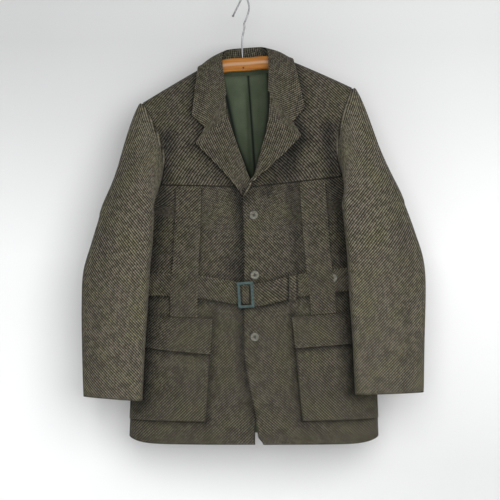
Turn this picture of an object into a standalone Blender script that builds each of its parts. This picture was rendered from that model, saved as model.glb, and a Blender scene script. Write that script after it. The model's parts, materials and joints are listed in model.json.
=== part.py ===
"""Tweed jacket with a belt, hung on a bent-wood hanger.

Sizes are in millimetres and become metres where a mesh is made. The origin is the inside top of the
hook, +X is the wearer's left, -Y the front and +Z up. Each half is worked out with x measured away
from the centre line, then mirrored, and hang() gives the whole garment the lean it has on its nail.
"""

import math

import bmesh
import bpy
from mathutils import Matrix, Vector

MM = 0.001

# Driving dimensions
CLOTH = 2.0
SEAM = 0.4
ARMHOLE_SEAM = 1.1
ON_CLOTH = 0.9
HEM_Z = -944.0
HEM_RISE = 14.0
ARMPIT_Z = -432.0
SHOULDER_X = 222.0
NECK_X = 70.0
RIDGE_Y = 3.0
SHOULDER_ROLL = 130.0
RIDGE_CROWD = 1.65
FRONT_ROWS = 18
FRONT_ARMHOLE_ROWS = 4
YOKE_SEAM_Z = -405.0
LAP = 21.0
BELT_WIDTH = 48.0
BUTTON_DIAMETER = 21.0
BUTTON_THICK = 4.0
BAR_TOP_Z = -131.0
BAR_HEIGHT = 28.0
BAR_THICK = 10.0
BAR_HALF_SPAN = 203.0
SHOULDER_SLOPE = 0.517
BAR_BEND = 60.0
BAR_CLEAR = 1.5
WIRE_DIAMETER = 3.6

# The lean of the garment on its nail: the centre line moves sideways and one shoulder sits higher.
CENTRE_X = 20.4
NECK_LEAN = 18.3
LEAN_FROM_Z = -535.5
LEAN_HEIGHT = 399.0
SHOULDER_TILT = 0.062
TILT_TOP_Z = -212.0

# Body sections: height, half width, y of the front, y of the side edge, y of the back
BODY_SECTIONS = [
    (-100, 262, -46, 22, 42),
    (-250, 262, -52, 22, 46),
    (-430, 262, -56, 24, 47),
    (-610, 250, -54, 24, 45),
    (-760, 257, -56, 24, 46),
    (-960, 266, -58, 24, 47),
]
FRONT_ROUND = 2.7
BACK_ROUND = 3.4

# Armhole seen from the front and from the back: x, z
ARMHOLE_FRONT = [
    (222, -212.2), (206, -245), (188, -295), (182, -345), (193, -392), (222, -424), (261.5, -432),
]
ARMHOLE_BACK = [
    (222, -212.2), (209, -245), (199, -290), (196, -340), (204, -390), (226, -422), (261.5, -432),
]

# Large soft folds of the fronts: side, x, top z, bottom z, half width, height out of the cloth
FRONT_FOLDS = [
    (1, 78, -310, -590, 16, -5.0),
    (1, 50, -300, -560, 16, 3.5),
    (-1, 34, -395, -520, 14, -4.0),
    (-1, 150, -640, -930, 40, 2.0),
    (1, 40, -680, -930, 26, 2.0),
]

# Sleeve rings: z, x and y of the centre, half width, half depth, turn of the long axis in degrees
SLEEVE_RINGS = [
    (-452, 256, -66, 66, 31, 26),
    (-510, 268, -69, 72, 33, 22),
    (-569, 279, -71, 77, 34, 18),
    (-640, 283, -72, 76, 32, 15),
    (-740, 286, -72, 71, 29, 12),
    (-846, 287, -72, 67, 27, 10),
]
SLEEVE_SQUARE = 2.5
SHOULDER_ANGLE = -62.0

# How the sleeve leaves the armhole: place round the loop, direction and length of the first run
SLEEVE_STARTS = [
    (0.00, (34, -8, -30)),
    (0.20, (16, -66, -40)),
    (0.38, (2, -80, -34)),
    (0.44, (22, -66, -4)),
    (0.50, (40, -40, -4)),
    (0.57, (54, 6, -2)),
    (0.66, (66, 30, -16)),
    (0.80, (70, 34, -50)),
]
SLEEVE_CAP_PULL = 90.0
SLEEVE_LAP = 4.4
SLEEVE_LIFT = 7.6
ARMHOLE_DROP = 2.5
ARMPIT_SAG = 22.0

# Lapel and collar lines: x, z on the front
YOKE_INNER = [
    (66, -133.4), (53, -170), (49, -222), (42, -267), (30.5, -311), (18, -351), (5.5, -389), (-12, -404.6),
]
YOKE_ARMHOLE_END = 0.655
ROLL_LINE = [
    (48.5, -130), (47, -168), (45, -222), (38, -267), (26.5, -311), (14, -351), (1.5, -389), (-18, -424),
]
LAPEL_EDGE_LEFT = [(92.5, -277), (107, -303), (68, -337), (20, -376), (-5, -397), (-18.5, -423)]
LAPEL_EDGE_RIGHT = [(92.5, -277), (112, -306), (72, -352), (42, -388), (24, -412), (20.5, -419)]
COLLAR_NOTCH = (91.5, -275.2)
NOTCH_SHARE = 2 / 3
COLLAR_FOLD = [
    (43.5, -44, -206),
    (46.5, -33, -172),
    (48.5, -14, -138),
    (47.5, 4, -117),
    (41, 28, -108),
    (23, 41, -104),
    (0, 46, -103),
]
COLLAR_EDGE = [
    (118.5, -44, -247),
    (111, -42, -205),
    (104, -26, -160),
    (100, 4, -145),
    (86, 36, -147),
    (48, 57, -160),
    (0, 62, -163),
]
NECK_SEAM = [(62, 7), (58, 24), (35, 38.5), (0, 43)]

# Straps: x of the inner and outer edges at the yoke seam, above the belt and at the flap, by side
STRAP_EDGES = {
    1: [(101, 153), (106, 159), (120, 172)],
    -1: [(107, 159), (115, 169), (119, 176)],
}
STRAP_END_Z = -674.0
STRAP_END_X = 120.0
STRAP_END_SLOPE = 0.057

# Pockets: x of the inner and outer edges, z of the flap top, flap bottom and pocket bottom
POCKET_INNER_TOP = 82.0
POCKET_INNER_BOTTOM = 102.0
POCKET_OUTER_TURN = 1.27
FLAP_TOP_Z = -678.0
FLAP_BOTTOM_Z = -742.0
POCKET_BOTTOM_Z = -893.0
FLAP_RISE = 11.0
POCKET_RISE = 3.0
POCKET_STAND = 12.0

# Belt fittings
BUCKLE_SIZE = (34.0, 55.0)
BUCKLE_BAR = 6.0
BUCKLE_THICK = 2.8
BUCKLE_X = -18.0
BUCKLE_OUT = 6.8
BUCKLE_TURN = math.radians(4)
KEEPER_X = 81.0
KEEPER_WIDTH = 14.0
KEEPER_THICK = 1.6
TONGUE_END = 97.0
BELT_END_X = 243.0

# Lining
LINING_THICK = 1.0
LINING_TOP_Z = -163.0
LINING_END_Z = -480.0

# Buttons on the lap: x, z
BUTTON_X = 1.5
FRONT_BUTTONS = [-462, -588, -718]
BELT_BUTTON = (175.5, -594)

# Wire hook, seen from the front: x, z
HOOK_ROUTE = [
    (-23.9, -39), (-17, -25), (-9.9, -10.5), (-5.6, -2.2), (-0.8, 1.8), (4, 0), (7, -6), (9.3, -14),
    (10.1, -21), (8.4, -32), (2.7, -48), (-0.2, -55), (0.2, -64), (-3.2, -79.5), (-4.3, -87),
    (-4.8, -102), (-4, -131),
]

TWEED = (0.075, 0.068, 0.050)
LINING = (0.054, 0.070, 0.047)
WOOD = (0.36, 0.155, 0.040)
STEEL = (0.35, 0.35, 0.36)
HORN = (0.12, 0.11, 0.085)
TEAL = (0.060, 0.082, 0.070)


def lerp(a, b, t):
    return a + (b - a) * t


def ease(t):
    t = min(1.0, max(0.0, t))
    return t * t * (3 - 2 * t)


def spline(rows, t):
    """A smooth curve through the rows, which are tuples of numbers, for t from 0 to 1."""
    last = len(rows) - 1
    at = min(max(t, 0.0), 1.0) * last
    i = min(int(at), last - 1)
    f = at - i
    a = rows[max(i - 1, 0)]
    b = rows[i]
    c = rows[i + 1]
    d = rows[min(i + 2, last)]
    out = []
    for p, q, r, s in zip(a, b, c, d):
        out.append(q + 0.5 * f * (r - p + f * (2 * p - 5 * q + 4 * r - s + f * (3 * (q - r) + s - p))))
    return out


def section(z):
    """Half width and the y of front, side and back at a height, smooth between the rows."""
    heights = [row[0] for row in BODY_SECTIONS]
    z = min(max(z, heights[-1]), heights[0])
    for i in range(len(heights) - 1):
        if z >= heights[i + 1]:
            t = (i + (heights[i] - z) / (heights[i] - heights[i + 1])) / (len(heights) - 1)
            return spline(BODY_SECTIONS, t)[1:]
    return list(BODY_SECTIONS[-1][1:])


def bar_top(x):
    """Height of the hanger bar's top edge: level in the middle, sloping with the shoulders."""
    return BAR_TOP_Z - SHOULDER_SLOPE * ((x**4 + BAR_BEND**4) ** 0.25 - BAR_BEND)


def shoulder_z(x):
    return bar_top(x) + CLOTH + BAR_CLEAR


def rise(x, z):
    """How far the cloth has turned over the shoulder: 0 on the ridge, 1 below the roll."""
    h = min(1.0, max(0.0, (shoulder_z(x) - z) / SHOULDER_ROLL))
    return math.sqrt(1 - (1 - h) ** 2)


def lap_lift(side, x, z):
    """The front on the wearer's left lies over the other one near the centre."""
    if side < 0:
        return 0.0
    height = 3.2 + 2.6 * ease((z + 490) / 60)
    return height * ease((46 - x) / 22)


def fold_height(side, x, z):
    total = 0.0
    for fold_side, at, top, bottom, width, height in FRONT_FOLDS:
        if fold_side == side:
            run = (top - z) / (top - bottom)
            if 0 < run < 1:
                total += height * math.sin(math.pi * run) ** 2 * math.exp(-(((x - at) / width) ** 2))
    return total


def front_y(side, x, z):
    half, front, edge, _ = section(z)
    s = min(1.0, abs(x) / half)
    y = edge - (edge - front) * (1 - s**FRONT_ROUND) ** (1 / FRONT_ROUND)
    y = RIDGE_Y + (y - RIDGE_Y) * rise(abs(x), z)
    return y - lap_lift(side, x, z) - fold_height(side, x, z)


def front_at(side, turn, z):
    """Point of the front at an angle round the section: 0 at the centre, a quarter turn at the side."""
    x = section(z)[0] * math.sin(turn)
    return Vector((x, front_y(side, x, z), z))


def back_ridge(x):
    """y of the back's top edge: on the ridge along the shoulder, round the neck between."""
    s = min(1.0, abs(x) / (NECK_X - 6))
    return RIDGE_Y + (NECK_SEAM[-1][1] - RIDGE_Y) * math.sqrt(1 - s**2.4)


def back_top_z(x):
    s = min(1.0, abs(x) / (NECK_X - 20))
    return shoulder_z(abs(x)) - 10.5 * (1 - s**2.4)


def over_shoulder_z(x, y):
    """Height of the shoulder's cloth at a place seen from above."""
    r = min(0.95, abs(y - RIDGE_Y) / 50)
    return shoulder_z(abs(x)) - SHOULDER_ROLL * (1 - math.sqrt(1 - r * r))


def back_at(turn, z):
    half, _, edge, back = section(z)
    x = half * math.sin(turn)
    s = min(1.0, abs(x) / half)
    y = edge + (back - edge) * (1 - s**BACK_ROUND) ** (1 / BACK_ROUND)
    ridge = back_ridge(x)
    y = ridge + (y - ridge) * rise(abs(x), z)
    return Vector((x, y, z))


def turn_of(x, z):
    return math.asin(max(-1.0, min(1.0, x / section(z)[0])))


def hem_rise(turn, z):
    """The hem swings up towards the side seams."""
    down = max(0.0, (ARMPIT_Z - z) / (ARMPIT_Z - HEM_Z))
    return HEM_RISE * down**4 * math.sin(abs(turn)) ** 6


def hang(p):
    up = max(0.0, p.z - LEAN_FROM_Z) / LEAN_HEIGHT
    lean = CENTRE_X - NECK_LEAN * min(up, 1.08) ** 1.3
    tilt = SHOULDER_TILT * min(1.0, (p.z - HEM_Z) / (TILT_TOP_Z - HEM_Z))
    return Vector((p.x + lean, p.y, p.z + p.x * tilt))


def normal_of(surface, u, v):
    """Unit normal of surface(u, v) by small steps that stay inside the unit square."""
    step = 1e-3
    u0, u1 = max(0.0, u - step), min(1.0, u + step)
    v0, v1 = max(0.0, v - step), min(1.0, v + step)
    across = surface(u1, v) - surface(u0, v)
    down = surface(u, v1) - surface(u, v0)
    return across.cross(down).normalized()


def coloured(name, colour, roughness, metallic):
    material = bpy.data.materials.new(name)
    material.use_nodes = True
    shader = material.node_tree.nodes["Principled BSDF"]
    shader.inputs["Base Color"].default_value = (*colour, 1)
    shader.inputs["Roughness"].default_value = roughness
    shader.inputs["Metallic"].default_value = metallic
    return material


def add_object(name, mesh, material):
    mesh.materials.append(material)
    mesh.shade_smooth()
    mesh.set_sharp_from_angle(angle=math.radians(40))
    obj = bpy.data.objects.new(name, mesh)
    jacket.objects.link(obj)
    return obj


def finish(name, bm, material):
    bmesh.ops.recalc_face_normals(bm, faces=bm.faces)
    if bm.calc_volume(signed=True) < 0:
        bmesh.ops.reverse_faces(bm, faces=bm.faces)
    mesh = bpy.data.meshes.new(name)
    bm.to_mesh(mesh)
    bm.free()
    return add_object(name, mesh, material)


def cloth_wall(name, columns, rows, place, material):
    """A wall over the unit square. place(u, v, depth) gives a point in millimetres, with depth 0 on
    the outer face and 1 on the inner one."""
    bm = bmesh.new()
    bmesh.ops.create_grid(bm, x_segments=columns, y_segments=rows, size=0.5)
    flat = list(bm.faces)
    grown = bmesh.ops.extrude_face_region(bm, geom=flat, use_keep_orig=True)
    for item in grown["geom"]:
        if isinstance(item, bmesh.types.BMVert):
            item.co.z = 1.0
    for vert in bm.verts:
        u, v, depth = vert.co.x + 0.5, vert.co.y + 0.5, vert.co.z
        vert.co = hang(place(u, v, depth)) * MM
    return finish(name, bm, material)


def mirrored(p, side):
    return Vector((p.x * side, p.y, p.z))


def panel(name, columns, rows, surface, side, material, thick=CLOTH, out=0.0, facing=1, keep=None):
    """A wall whose outer face is surface(u, v) moved out, and whose inner face lies thick behind it.
    facing is 1 where across x down points out of the garment, else -1. keep may hold a point back
    from a neighbour."""

    def place(u, v, depth):
        point = surface(u, v)
        height = out(u, v) if callable(out) else out
        away = normal_of(surface, u, v) * facing
        point = point + away * (height - depth * thick)
        if keep:
            point = keep(point)
        return mirrored(point, side)

    return cloth_wall(name, columns, rows, place, material)


def front_edge_x(side, z):
    """The buttoned edges swing away from the centre below the last button."""
    swing = ease((-735 - z) / 200)
    if side > 0:
        return lerp(-LAP, 8, swing) + 12 * ease((-925 - z) / 20)
    return lerp(-LAP + 1, -2.5, swing)


def seam_gap(u):
    """Draws the last strip of a panel back from the side seam."""
    return 0.3 * u**12


def front_surface(side):
    """From the yoke seam to the hem; the outer edge is the rest of the armhole, then the side seam."""
    armhole_share = FRONT_ARMHOLE_ROWS / FRONT_ROWS

    def surface(u, v):
        if v < armhole_share:
            down = v / armhole_share
            outer_x, outer_z = spline(ARMHOLE_FRONT, lerp(YOKE_ARMHOLE_END + 0.004, 1, down))
            outer_z -= ARMHOLE_DROP * math.sin(math.pi * down)
            outer_turn = turn_of(outer_x, outer_z)
        else:
            outer_z = lerp(ARMPIT_Z, HEM_Z, (v - armhole_share) / (1 - armhole_share))
            outer_turn = math.pi / 2
        inner_z = lerp(YOKE_SEAM_Z, HEM_Z, v)
        inner_x = front_edge_x(side, inner_z)
        inner_turn = turn_of(inner_x, inner_z)
        turn = lerp(inner_turn, outer_turn, u)
        reach = (math.sin(turn) - math.sin(inner_turn)) / (math.sin(outer_turn) - math.sin(inner_turn))
        z = lerp(inner_z, outer_z, reach)
        point = front_at(side, turn, z + hem_rise(turn, z))
        point.y -= seam_gap(u)
        return point

    return surface


def yoke_surface(side):
    """From the shoulder seam to the yoke seam, between the neck and the armhole."""

    def shoulder(u):
        x = lerp(NECK_X - 4, SHOULDER_X, u)
        return Vector((x, 0, shoulder_z(x)))

    def seam(u):
        x, z = spline(ARMHOLE_FRONT, YOKE_ARMHOLE_END)
        start_x = YOKE_INNER[-1][0]
        start_z = lerp(YOKE_SEAM_Z, z, (start_x + LAP) / (x + LAP)) + 2 * SEAM
        return Vector((start_x, 0, start_z)).lerp(Vector((x, 0, z)), u)

    def inner(v):
        x, z = spline(YOKE_INNER, v)
        ends = (shoulder(0) - Vector((YOKE_INNER[0][0], 0, YOKE_INNER[0][1]))) * (1 - v)
        ends += (seam(0) - Vector((YOKE_INNER[-1][0], 0, YOKE_INNER[-1][1]))) * v
        return Vector((x, 0, z)) + ends

    def outer(v):
        x, z = spline(ARMHOLE_FRONT, v * YOKE_ARMHOLE_END)
        return Vector((x, 0, z))

    def surface(u, v):
        v = v**RIDGE_CROWD
        sides = inner(v).lerp(outer(v), u)
        ends = shoulder(u).lerp(seam(u), v)
        corners = shoulder(0).lerp(shoulder(1), u).lerp(seam(0).lerp(seam(1), u), v)
        p = sides + ends - corners
        return Vector((p.x, front_y(side, p.x, p.z), p.z))

    return surface


def back_surface(u, v):
    """Whole back, from the neck and shoulder seams to the hem."""
    v = v**RIDGE_CROWD
    across = 2 * u - 1
    edge = abs(across)
    share = 0.5**RIDGE_CROWD
    top = min(1.0, v / share)
    if v < share:
        outer_x, outer_z = spline(ARMHOLE_BACK, top)
        outer_z -= ARMHOLE_DROP * math.sin(math.pi * top**3)
        outer_turn = turn_of(outer_x, outer_z)
        middle_z = lerp(back_top_z(0), ARMPIT_Z - ARMPIT_SAG, top)
    else:
        below = (v - share) / (1 - share)
        outer_z = lerp(ARMPIT_Z, HEM_Z, below)
        outer_turn = math.pi / 2
        middle_z = lerp(ARMPIT_Z - ARMPIT_SAG, HEM_Z, below)
    z = lerp(middle_z, outer_z, edge**1.5)
    ridge_z = back_top_z(SHOULDER_X)
    ridge_x = section(ridge_z)[0] * math.sin(turn_of(SHOULDER_X, ridge_z) * edge)
    crown = back_top_z(ridge_x) - lerp(back_top_z(0), ridge_z, edge**1.5)
    z += (1 - top) * crown
    z += hem_rise(outer_turn * edge, z)
    point = back_at(outer_turn * edge, z)
    point.x = math.copysign(point.x, across)
    point.y += seam_gap(edge) * (v >= share)
    return point


def armhole_point(w):
    """Closed armhole loop: 0 at the shoulder, down the front to the armpit at 0.5, up the back."""
    if w <= 0.5:
        x, z = spline(ARMHOLE_FRONT, w / 0.5)
        y = front_y(-1, x, z)
    else:
        x, z = spline(ARMHOLE_BACK, (1 - w) / 0.5)
        y = back_at(turn_of(x, z), z).y
    point = Vector((x + ARMHOLE_SEAM, y, z))
    over = math.sin(math.pi * min(1.0, max(0.0, (w - 0.26) / 0.48))) ** 2
    if w <= 0.5:
        away = Vector(((y - front_y(-1, x - 0.5, z)) / 0.5, -1, 0))
    else:
        away = Vector(((back_at(turn_of(x - 0.5, z), z).y - y) / 0.5, 1, 0))
    return point + (away.normalized() * SLEEVE_LAP + Vector((0, 0, SLEEVE_LIFT))) * over


def sleeve_start(w):
    rows = SLEEVE_STARTS + [(1.0, SLEEVE_STARTS[0][1])]
    for (w0, a), (w1, b) in zip(rows, rows[1:]):
        if w <= w1:
            t = ease((w - w0) / (w1 - w0))
            return Vector(a).lerp(Vector(b), t)
    return Vector(rows[0][1])


def ring_point(w, t):
    z, x, y, half, depth, turn = spline(SLEEVE_RINGS, t)
    angle = math.radians(SHOULDER_ANGLE - 360 * w)
    power = 2 / SLEEVE_SQUARE
    c, s = math.cos(angle), math.sin(angle)
    along_axis = half * math.copysign(abs(c) ** power, c)
    across_axis = depth * math.copysign(abs(s) ** power, s)
    turned = math.radians(turn)
    return Vector((
        x + along_axis * math.cos(turned) - across_axis * math.sin(turned),
        y + along_axis * math.sin(turned) + across_axis * math.cos(turned),
        z,
    ))


def sleeve_at(w, v):
    """Sleeve surface: the cap from the armhole to the first ring, then the rings to the cuff."""
    w %= 1.0
    cap = 0.34
    if v >= cap:
        return ring_point(w, (v - cap) / (1 - cap))
    t = v / cap
    start, end = armhole_point(w), ring_point(w, 0.0)
    leave = sleeve_start(w)
    arrive = Vector((0, 0, -SLEEVE_CAP_PULL))
    h = t * t
    g = h * t
    return (
        start * (2 * g - 3 * h + 1)
        + leave * (g - 2 * h + t) * 2
        + end * (3 * h - 2 * g)
        + arrive * (g - h)
    )


def sleeve_surface(w0, w1, gap):
    def surface(u, v):
        return sleeve_at(lerp(w0 + gap, w1 - gap, u), v)

    return surface


def before_ridge(p):
    """The front stays on its side of the shoulder seam."""
    return Vector((p.x, min(p.y, RIDGE_Y - SEAM / 2), p.z))


def behind_ridge(p):
    return Vector((p.x, max(p.y, RIDGE_Y + SEAM / 2), p.z))


def front_normal(side, x, z):
    """Direction straight out of a front at x and z."""
    across = front_y(side, x + 0.5, z) - front_y(side, x - 0.5, z)
    up = front_y(side, x, z + 0.5) - front_y(side, x, z - 0.5)
    return Vector((across, -1, up)).normalized()


def on_front(side, x, z, out):
    """Point of a front moved out from the cloth, before it is mirrored to its side."""
    return Vector((x, front_y(side, x, z), z)) + front_normal(side, x, z) * out


def front_panel(name, columns, rows, side, edges, out, material, thick=CLOTH):
    """Wall that lies on a front. edges(u, v) gives x and z, out(u, v) the height of its outer face."""

    def place(u, v, depth):
        return mirrored(on_front(side, *edges(u, v), out(u, v) - depth * thick), side)

    cloth_wall(name, columns, rows, place, material)


def polyline(rows, t):
    last = len(rows) - 1
    at = min(max(t, 0.0), 1.0) * last
    i = min(int(at), last - 1)
    return [lerp(p, q, at - i) for p, q in zip(rows[i], rows[i + 1])]


def lapel(side, hand, edge_rows, material):
    """Turned-back front edge, between the roll line and the lapel's own edge."""
    gorge = 0.265

    def edges(u, v):
        inner = spline(ROLL_LINE, lerp(gorge, 0.975 if side > 0 else 0.86, v))
        outer = polyline(edge_rows, v)
        return lerp(inner[0], outer[0], u), lerp(inner[1], outer[1], u)

    def out(u, v):
        return ON_CLOTH + CLOTH + 3.0 * math.sin(math.pi * min(1.0, u * 1.1)) ** 2 * (1 - v)

    front_panel(f"lapel_{hand}", 7, 14, side, edges, out, material)


def collar_point(t, v):
    """Fall of the collar: t from its front end to the back, v from the fold to the outer edge."""
    fold, edge = Vector(spline(COLLAR_FOLD, t)), Vector(spline(COLLAR_EDGE, t))
    point = fold.lerp(edge, v)
    front_end = max(0.0, 1 - t / 0.2)
    gorge = [COLLAR_FOLD[0][::2], COLLAR_NOTCH, COLLAR_EDGE[0][::2]]
    if v < NOTCH_SHARE:
        run = v / (2 * NOTCH_SHARE)
    else:
        run = 0.5 + (v - NOTCH_SHARE) / (2 - 2 * NOTCH_SHARE)
    x, z = polyline(gorge, run)
    point.x += (x - lerp(gorge[0][0], gorge[2][0], v)) * front_end
    point.z += (z - lerp(gorge[0][1], gorge[2][1], v)) * front_end
    crown = math.sin(math.pi * v)
    point.z += 5 * crown * ease((t - 0.2) / 0.3)
    clear = SEAM + 2 * CLOTH
    over_front = front_y(1, point.x, point.z) - clear - 2 * crown
    point.y = lerp(min(point.y, over_front), point.y, ease((t - 0.25) / 0.15))
    if abs(point.x) > NECK_X - 10:
        shoulder = over_shoulder_z(point.x, point.y) + clear + 3.0
        point.z = max(point.z, lerp(point.z, shoulder, ease((t - 0.15) / 0.15)))
    return point


def collar_surface(u, v):
    across = 2 * u - 1
    point = collar_point(1 - abs(across), v)
    point.x = math.copysign(point.x, across)
    return point


def stand_surface(u, v):
    """Stand of the collar, inside the fall: v from the fold down to the neck seam."""
    across = 2 * u - 1
    t = 1 - abs(across)
    fold = Vector(spline(COLLAR_FOLD, lerp(0.5, 1.0, t)))
    x, y = spline(NECK_SEAM, t)
    seam = Vector((x, y, back_top_z(x) + 3 * SEAM))
    inward = Vector((-fold.x, -fold.y, 0)).normalized()
    top = fold + inward * 3.4 + Vector((0, 0, -2.5))
    point = top.lerp(seam, v)
    point.x = math.copysign(point.x, across)
    return point


def belt_z(x):
    """Centre line of the belt, which sags towards the buckle."""
    return -597 - 33 / (1 + (x / 95) ** 2)


def strap(side, hand, material):
    def edges(u, v):
        x = lerp(*spline(STRAP_EDGES[side], v), u)
        return x, lerp(YOKE_SEAM_Z + 5, STRAP_END_Z + STRAP_END_SLOPE * (x - STRAP_END_X), v)

    def out(u, v):
        x, z = edges(u, v)
        away = abs(z - belt_z(x)) - BELT_WIDTH / 2
        return ON_CLOTH + CLOTH + (CLOTH + SEAM + 0.6) * (1 - ease((away - 5) / 18))

    front_panel(f"strap_{hand}", 3, 22, side, edges, out, material)


def belt_half_width(x):
    """The belt draws in where it passes through the buckle."""
    return BELT_WIDTH / 2 - 3.6 * math.exp(-(((x - BUCKLE_X) / 16) ** 2))


def belt_edges(x_from, x_to, side):
    def edges(u, v):
        z = belt_z(x_to)
        x = section(z)[0] * math.sin(lerp(turn_of(x_from, z), turn_of(x_to, z), u))
        return x, belt_z(x) + lerp(1, -1, v) * belt_half_width(side * x)

    return edges


def tongue_out(x, z):
    """The belt that comes through the buckle climbs over the lap and then over the other half."""
    lap = 3.9 * ease((50 - x) / 24) if x > LAP - 1 else lap_lift(1, -x, z) + 0.7
    over = (CLOTH + SEAM + 0.3) * ease((12 - x) / 12)
    return ON_CLOTH + CLOTH + lap + over


def belts(material):
    left = belt_edges(-2, BELT_END_X, 1)
    front_panel("belt_left", 22, 2, 1, left, lambda u, v: ON_CLOTH + CLOTH, material)
    right = belt_edges(-TONGUE_END, BELT_END_X, -1)
    front_panel("belt_right", 34, 2, -1, right, lambda u, v: tongue_out(*right(u, v)), material)

    def keeper_row(v):
        """Rows crowd at the two ends, where the loop turns down to the cloth."""
        return 0.5 + 0.5 * math.copysign(abs(2 * v - 1) ** 0.12, v - 0.5)

    def keeper_edges(u, v):
        x = KEEPER_X + lerp(-KEEPER_WIDTH, KEEPER_WIDTH, u) / 2
        return x, belt_z(x) + lerp(1, -1, keeper_row(v)) * (BELT_WIDTH / 2 + 4)

    def keeper_out(u, v):
        over = 3 * CLOTH + ON_CLOTH + 2.4
        return lerp(over, ON_CLOTH + KEEPER_THICK, max(0.0, abs(2 * keeper_row(v) - 1) - 0.92) / 0.08)

    front_panel("belt_keeper", 2, 9, 1, keeper_edges, keeper_out, material, KEEPER_THICK)


def front_frame(side, x, z, out):
    """Matrix that stands a hard piece on a front: its local Z points out of the cloth."""
    spot = hang(mirrored(on_front(side, x, z, out), side))
    away = mirrored(front_normal(side, x, z), side)
    up = (Vector((0, 0, 1)) - away * away.z).normalized()
    turned = Matrix((up.cross(away), up, away)).transposed().to_4x4()
    return Matrix.Translation(spot * MM) @ turned


def buckle(material):
    """Flat rectangular frame, round-edged, that the belt passes through."""
    bm = bmesh.new()
    bmesh.ops.create_grid(bm, x_segments=3, y_segments=3, size=0.5)
    for vert in bm.verts:
        for axis, size in ((0, BUCKLE_SIZE[0]), (1, BUCKLE_SIZE[1])):
            value = vert.co[axis]
            inside = abs(value) < 0.4
            vert.co[axis] = math.copysign(size / 2 - BUCKLE_BAR * inside, value)
    middle = min(bm.faces, key=lambda face: face.calc_center_median().length)
    bmesh.ops.delete(bm, geom=[middle], context="FACES_ONLY")
    grown = bmesh.ops.extrude_face_region(bm, geom=list(bm.faces), use_keep_orig=True)
    lifted = [item for item in grown["geom"] if isinstance(item, bmesh.types.BMVert)]
    bmesh.ops.translate(bm, verts=lifted, vec=(0, 0, BUCKLE_THICK))
    bmesh.ops.scale(bm, verts=bm.verts, vec=(MM, MM, MM))
    obj = finish("buckle", bm, material)
    frame = front_frame(1, BUCKLE_X, belt_z(BUCKLE_X), BUCKLE_OUT)
    obj.matrix_world = frame @ Matrix.Rotation(BUCKLE_TURN, 4, "Z")
    rounded = obj.modifiers.new("rounded", "BEVEL")
    rounded.width = 0.8 * MM
    rounded.segments = 2


def button(name, side, x, z, out, material):
    """Disc with a dished face."""
    bm = bmesh.new()
    radius = BUTTON_DIAMETER / 2
    bmesh.ops.create_cone(
        bm, cap_ends=True, segments=24, radius1=radius - 0.6, radius2=radius, depth=BUTTON_THICK
    )
    bmesh.ops.translate(bm, verts=bm.verts, vec=(0, 0, BUTTON_THICK / 2))
    face = max(bm.faces, key=lambda item: item.calc_center_median().z)
    bmesh.ops.inset_region(bm, faces=[face], thickness=2.2, depth=-1.0)
    bmesh.ops.scale(bm, verts=bm.verts, vec=(MM, MM, MM))
    finish(name, bm, material).matrix_world = front_frame(side, x, z, out)


def pocket_edges(u, v, top_z, bottom_z):
    z = lerp(top_z, bottom_z, v)
    drop = (FLAP_TOP_Z - z) / (FLAP_TOP_Z - POCKET_BOTTOM_Z)
    inner = turn_of(lerp(POCKET_INNER_TOP, POCKET_INNER_BOTTOM, drop), z)
    x = section(z)[0] * math.sin(lerp(inner, POCKET_OUTER_TURN, u))
    below_flap = (FLAP_BOTTOM_Z - z) / (FLAP_BOTTOM_Z - POCKET_BOTTOM_Z)
    return x, z + u * lerp(FLAP_RISE, POCKET_RISE, ease(below_flap))


def bag(z):
    """How far the pocket stands out from the front at a height."""
    return ON_CLOTH + CLOTH + POCKET_STAND * math.sqrt(ease((FLAP_TOP_Z - z) / 110))


def pockets(side, hand, material):
    def flap_edges(u, v):
        return pocket_edges(lerp(-0.01, 1.01, u), v, FLAP_TOP_Z, FLAP_BOTTOM_Z)

    def flap_out(u, v):
        z = lerp(FLAP_TOP_Z, FLAP_BOTTOM_Z, v)
        return bag(z) + (CLOTH + ON_CLOTH) * ease((FLAP_TOP_Z - z - 1) / 8)

    pocket_wall(f"pocket_{hand}", side, material)
    front_panel(f"pocket_flap_{hand}", 12, 7, side, flap_edges, flap_out, material)


def pocket_wall(name, side, material):
    """Bellows pocket: its face stands off the front on a gusset round three sides, open at the top."""
    columns, rows = 12, 11

    def grid_to_pocket(u, v):
        across = min(1.0, max(0.0, (u * columns - 1) / (columns - 2)))
        down = min(1.0, v * rows / (rows - 1))
        return across, down

    def place(u, v, depth):
        across, down = grid_to_pocket(u, v)
        gusset = u * columns < 0.5 or u * columns > columns - 0.5 or v * rows > rows - 0.5
        slim = depth * CLOTH / 160
        low, high = (slim, 1 - slim) if depth else (0.0, 1.0)
        down *= 1 - slim
        x, z = pocket_edges(lerp(low, high, across), down, FLAP_TOP_Z - 12, POCKET_BOTTOM_Z)
        stand = bag(lerp(FLAP_TOP_Z - 12, POCKET_BOTTOM_Z, down))
        height = ON_CLOTH if gusset else stand - depth * CLOTH
        return mirrored(on_front(side, x, z, height), side)

    cloth_wall(name, columns, rows, place, material)


def lining_half(name, x_from, x_to, inside, material):
    """Back lining seen in the open neck, just inside the back."""

    def surface(u, v):
        x = lerp(x_from, x_to, u)
        z = lerp(LINING_TOP_Z, LINING_END_Z, v)
        point = back_at(turn_of(abs(x), z), z)
        point.x = math.copysign(point.x, x)
        return point

    panel(name, 6, 10, surface, 1, material, thick=LINING_THICK, out=-inside, facing=1)


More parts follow.
